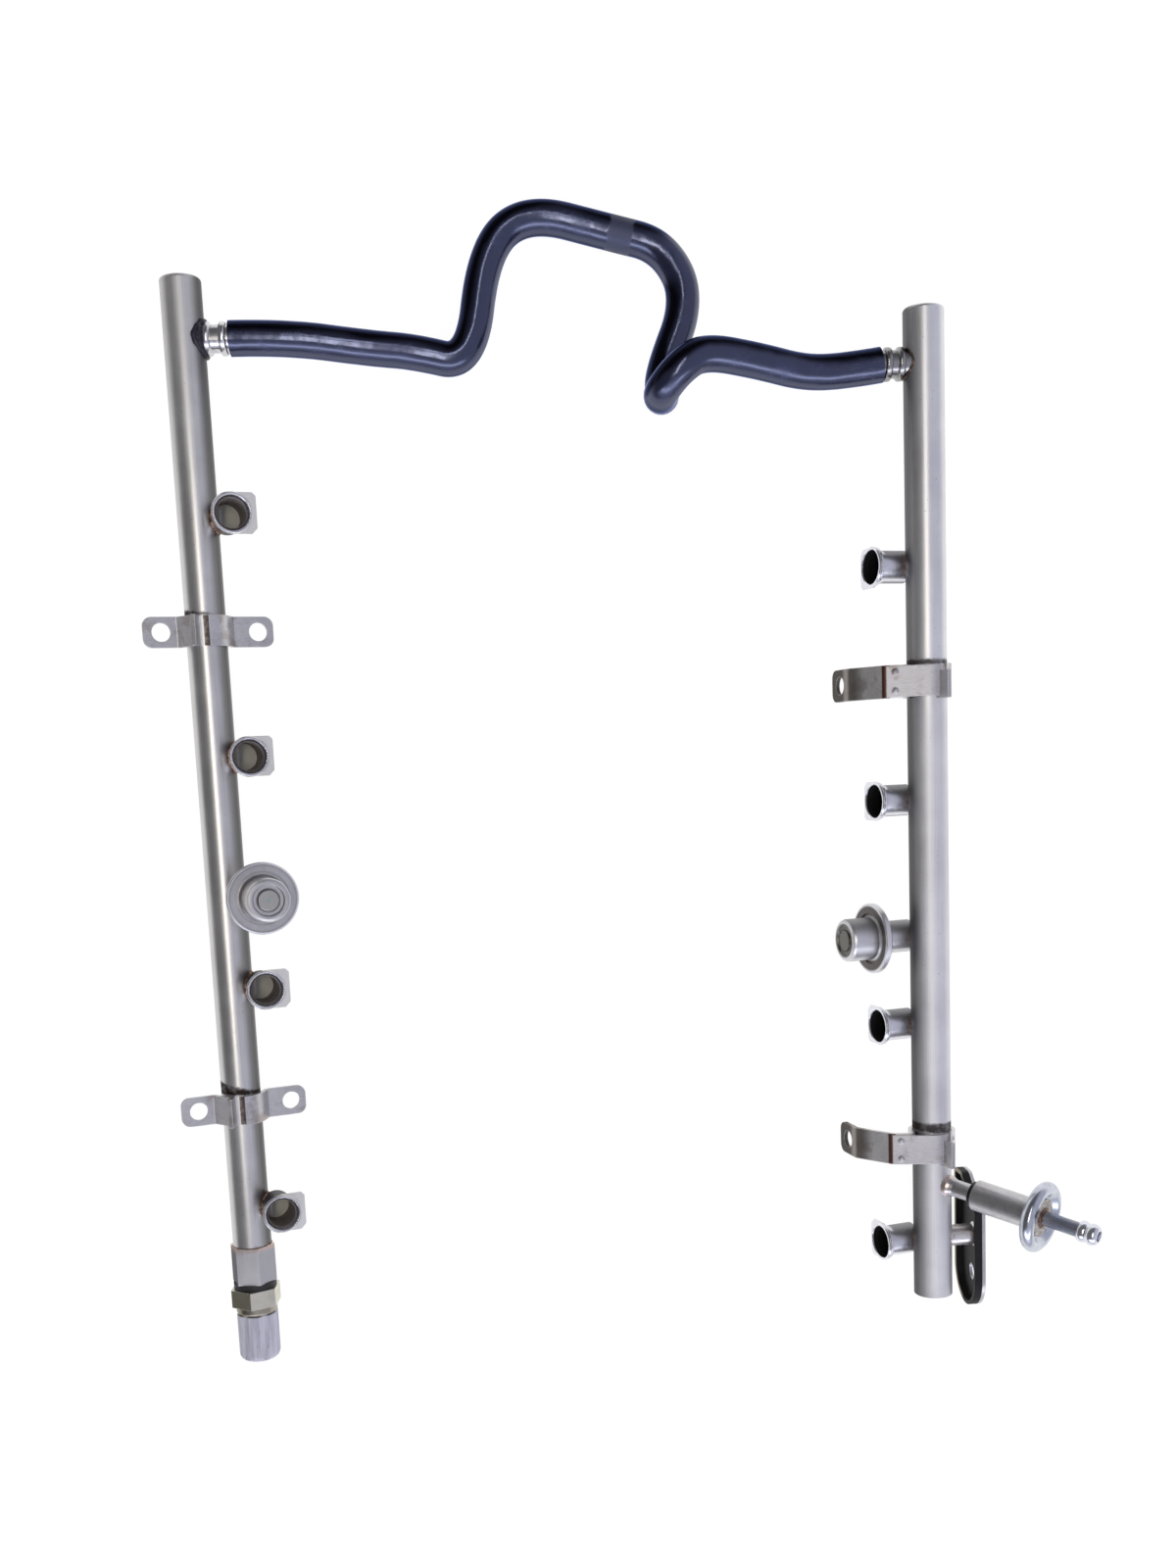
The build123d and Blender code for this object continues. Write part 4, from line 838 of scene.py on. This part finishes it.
takeoff_start = (Vector(TAKEOFF_ROOT) + Vector((CENTRE_X, CENTRE_Y, 0.0))) * MM
RIM_MIDDLE = 14.0
RIM_ROUND = 3.4
DISC_MIDDLE = SLEEVE_END + 0.1
DISC_BACK = DISC_MIDDLE - RIM_ROUND
disc_profile = [(DISC_BACK, 8.0), (DISC_BACK + 0.01, 8.0), (DISC_BACK + 0.01, RIM_MIDDLE)]
for number in range(1, 15):
    angle = math.radians(-90.0 + 15.0 * number)
    rise, spread = RIM_ROUND * math.sin(angle), RIM_ROUND * math.cos(angle)
    disc_profile.append((DISC_MIDDLE + rise, RIM_MIDDLE + spread))
disc_profile.append((DISC_MIDDLE + 0.2, RIM_MIDDLE - RIM_ROUND))
disc_profile.append((DISC_MIDDLE, RIM_MIDDLE - RIM_ROUND - 0.3))
disc_profile.append((DISC_MIDDLE, 5.0))
disc_steel, shader, place = finish_for("polished disc steel")
base, lines, blotch = steel_skin(place, (0.3, 0.3, 0.3), (0.62, 0.65, 0.72), (0.46, 0.48, 0.54), 0.1)
connect(shader, Base_Color=base, Metallic=1.0, Roughness=0.17 + blotch * 0.1)
disc = turned(
    "takeoff_rolled_disc", takeoff_start, TAKEOFF_WAY, disc_profile,
    disc_steel, smooth=70.0,
)
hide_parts("takeoff_disc")

plate_steel, shader, place = finish_for("rusty end plate")
rust = place.noise(0.8, 4.0)
across_plate = place.stretched((1.0, 1.0, 1.0), move=tuple(-takeoff_start / MM))
inputs = {0: across_plate, 1: tuple(TAKEOFF_WAY)}
off_axis = across_plate.node("ShaderNodeVectorMath", {"operation": "CROSS_PRODUCT"}, inputs)
off_axis = off_axis.node("ShaderNodeVectorMath", {"operation": "LENGTH"}, {0: off_axis}, 1)
brown = 1.0 - (off_axis + rust * 2.0).between(5.6, 7.2)
base = rust.between(0.4, 0.6).blend((0.30, 0.27, 0.25), (0.62, 0.58, 0.54))
base = (brown * 0.9).blend(base, (0.13, 0.06, 0.035))
connect(shader, Base_Color=base, Metallic=0.7, Roughness=0.35 + rust * 0.3)
bumped(shader, rust, 0.15)
dress(["takeoff_end_plate"], plate_steel)

nipple_steel, shader, place = finish_for("nipple steel")
base, lines, blotch = steel_skin(place, (0.5, 0.5, 0.5), (0.40, 0.42, 0.47), (0.30, 0.31, 0.35), 0.3)
up = up_takeoff(place)
polished = up.between(NIPPLE_BEADS - 0.4, NIPPLE_BEADS + 0.2)
browned = 1.0 - (up + place.noise(0.6, 3.0) * 2.0).between(SLEEVE_END + 2.6, SLEEVE_END + 4.4)
base = (browned * 0.8).blend(base, (0.24, 0.12, 0.08))
base = (polished * 0.9).blend(base, (0.80, 0.81, 0.87))
connect(shader, Base_Color=base, Metallic=0.95, Roughness=0.3 - polished * 0.2 + blotch * 0.06)
bumped(shader, lines, 0.015)
nipple_profile = [
    (SLEEVE_END, 3.6), (77.4, 3.6), (77.8, 4.2), (78.4, 4.9), (79.2, 5.2), (80.6, 5.2), (81.5, 4.8),
    (82.2, 4.4), (82.9, 4.8), (83.7, 5.2), (85.2, 5.2), (86.4, 4.8), (87.2, 4.2), (87.6, 3.5),
    (87.6, 2.6), (86.9, 2.5), (84.0, 2.4),
]
nipple = turned(
    "takeoff_outlet_nipple", takeoff_start, TAKEOFF_WAY, nipple_profile,
    nipple_steel, smooth=60.0,
)
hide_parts("takeoff_nipple")
plate_at = Vector(TAKEOFF_ROOT) + (SLEEVE_END + 1.6) * TAKEOFF_WAY
ring("nipple_braze", plate_at, TAKEOFF_WAY, 3.9, 0.5, braze_copper)
sleeve_at = Vector(TAKEOFF_ROOT) + SLEEVE_START * TAKEOFF_WAY
ring("sleeve_braze", sleeve_at, TAKEOFF_WAY, 4.5, 0.4, braze_copper)


# Studio. A plain white floor, a long lamp high over the rails and a short one over the hose,
# a dark side, a pale blue-grey side and a window in front, so that round parts show as such.
bpy.ops.object.select_all(action="DESELECT")
bpy.ops.mesh.primitive_plane_add(size=12.0, location=(0.0, 0.0, -0.0002))
floor = bpy.context.object
floor.name = "floor"
floor_paint, shader, place = finish_for("white floor")
connect(shader, Base_Color=(0.9, 0.9, 0.9, 1.0), Roughness=0.9)
to_camera = place.node("ShaderNodeLightPath", {}, {}, 0)
to_gloss = place.node("ShaderNodeLightPath", {}, {}, 3)
through_glass = place.node("ShaderNodeLightPath", {}, {}, 6)
glow = place.node("ShaderNodeEmission", {}, {"Color": (1.0, 1.0, 1.0, 1.0), "Strength": 1.09})
seen = to_camera.math("MAXIMUM", to_camera.math("MAXIMUM", to_camera, to_gloss), through_glass) * 0.88
paint = Signal(place.tree, shader.outputs[0])
mixed = place.node("ShaderNodeMixShader", {}, {0: seen, 1: paint, 2: glow})
place.tree.links.new(mixed.socket, place.tree.nodes["Material Output"].inputs["Surface"])
floor.data.materials.append(floor_paint)

LAMPS = {
    "long lamp": {
        "width": 0.16, "length": 1.1, "watts": 8.0,
        "tint": (1.0, 0.94, 0.84), "at": (-0.26, 0.0), "turn": -6.0,
    },
    "hose lamp": {
        "width": 0.12, "length": 0.5, "watts": 2.2,
        "tint": (1.0, 1.0, 1.0), "at": (-0.1, 0.95), "turn": 0.0,
    },
}
LAMP_HEIGHT = 2.26
for name, light in LAMPS.items():
    lamp_data = bpy.data.lights.new(name, "AREA")
    lamp_data.shape = "RECTANGLE"
    lamp_data.size = light["width"]
    lamp_data.size_y = light["length"]
    lamp_data.energy = light["watts"]
    lamp_data.color = light["tint"]
    lamp = bpy.data.objects.new(name, lamp_data)
    lamp.location = (*light["at"], LAMP_HEIGHT)
    lamp.rotation_euler = (0.0, 0.0, math.radians(light["turn"]))
    bpy.context.scene.collection.objects.link(lamp)

world = bpy.data.worlds.new("studio")
bpy.context.scene.world = world
world.use_nodes = True
sky = Signal(world.node_tree)
way = sky.node("ShaderNodeTexCoord", {}, {}, 0)
light_side = (way.axis("X") - way.axis("Y") * 0.5).between(-0.30, 0.30)
height, forward = way.axis("Z"), 0.0 - way.axis("Y")
low = 1.0 - height.between(0.0, 0.35)
ceiling = light_side.blend((0.13, 0.13, 0.135), (0.54, 0.55, 0.65))
window = forward.between(0.50, 0.68) * height.between(0.12, 0.30) * (1.0 - height.between(0.78, 0.86))
core = forward.between(0.60, 0.70) * height.between(0.40, 0.48) * (1.0 - height.between(0.60, 0.66))
shade = (window * 0.9).blend((low * 0.25).blend(ceiling, (0.6, 0.6, 0.62)), (0.85, 0.88, 1.02))
shade = (core * 0.9).blend(shade, (4.0, 4.1, 4.5))
world.node_tree.links.new(shade.socket, world.node_tree.nodes["Background"].inputs["Color"])

camera_data = bpy.data.cameras.new("camera")
camera_data.sensor_width = 36.0
camera_data.lens = 33.66
camera_data.shift_y = 0.1137
camera = bpy.data.objects.new("camera", camera_data)
camera.matrix_world = Matrix((
    (0.99804652, 0.04760579, -0.04045776, -0.0437631),
    (-0.04174266, 0.98995083, 0.13511069, 0.03198),
    (0.04648324, -0.13315794, 0.99000418, 0.73585),
    (0.0, 0.0, 0.0, 1.0),
))
bpy.context.scene.collection.objects.link(camera)
bpy.context.scene.camera = camera
bpy.context.scene.view_settings.view_transform = "Standard"
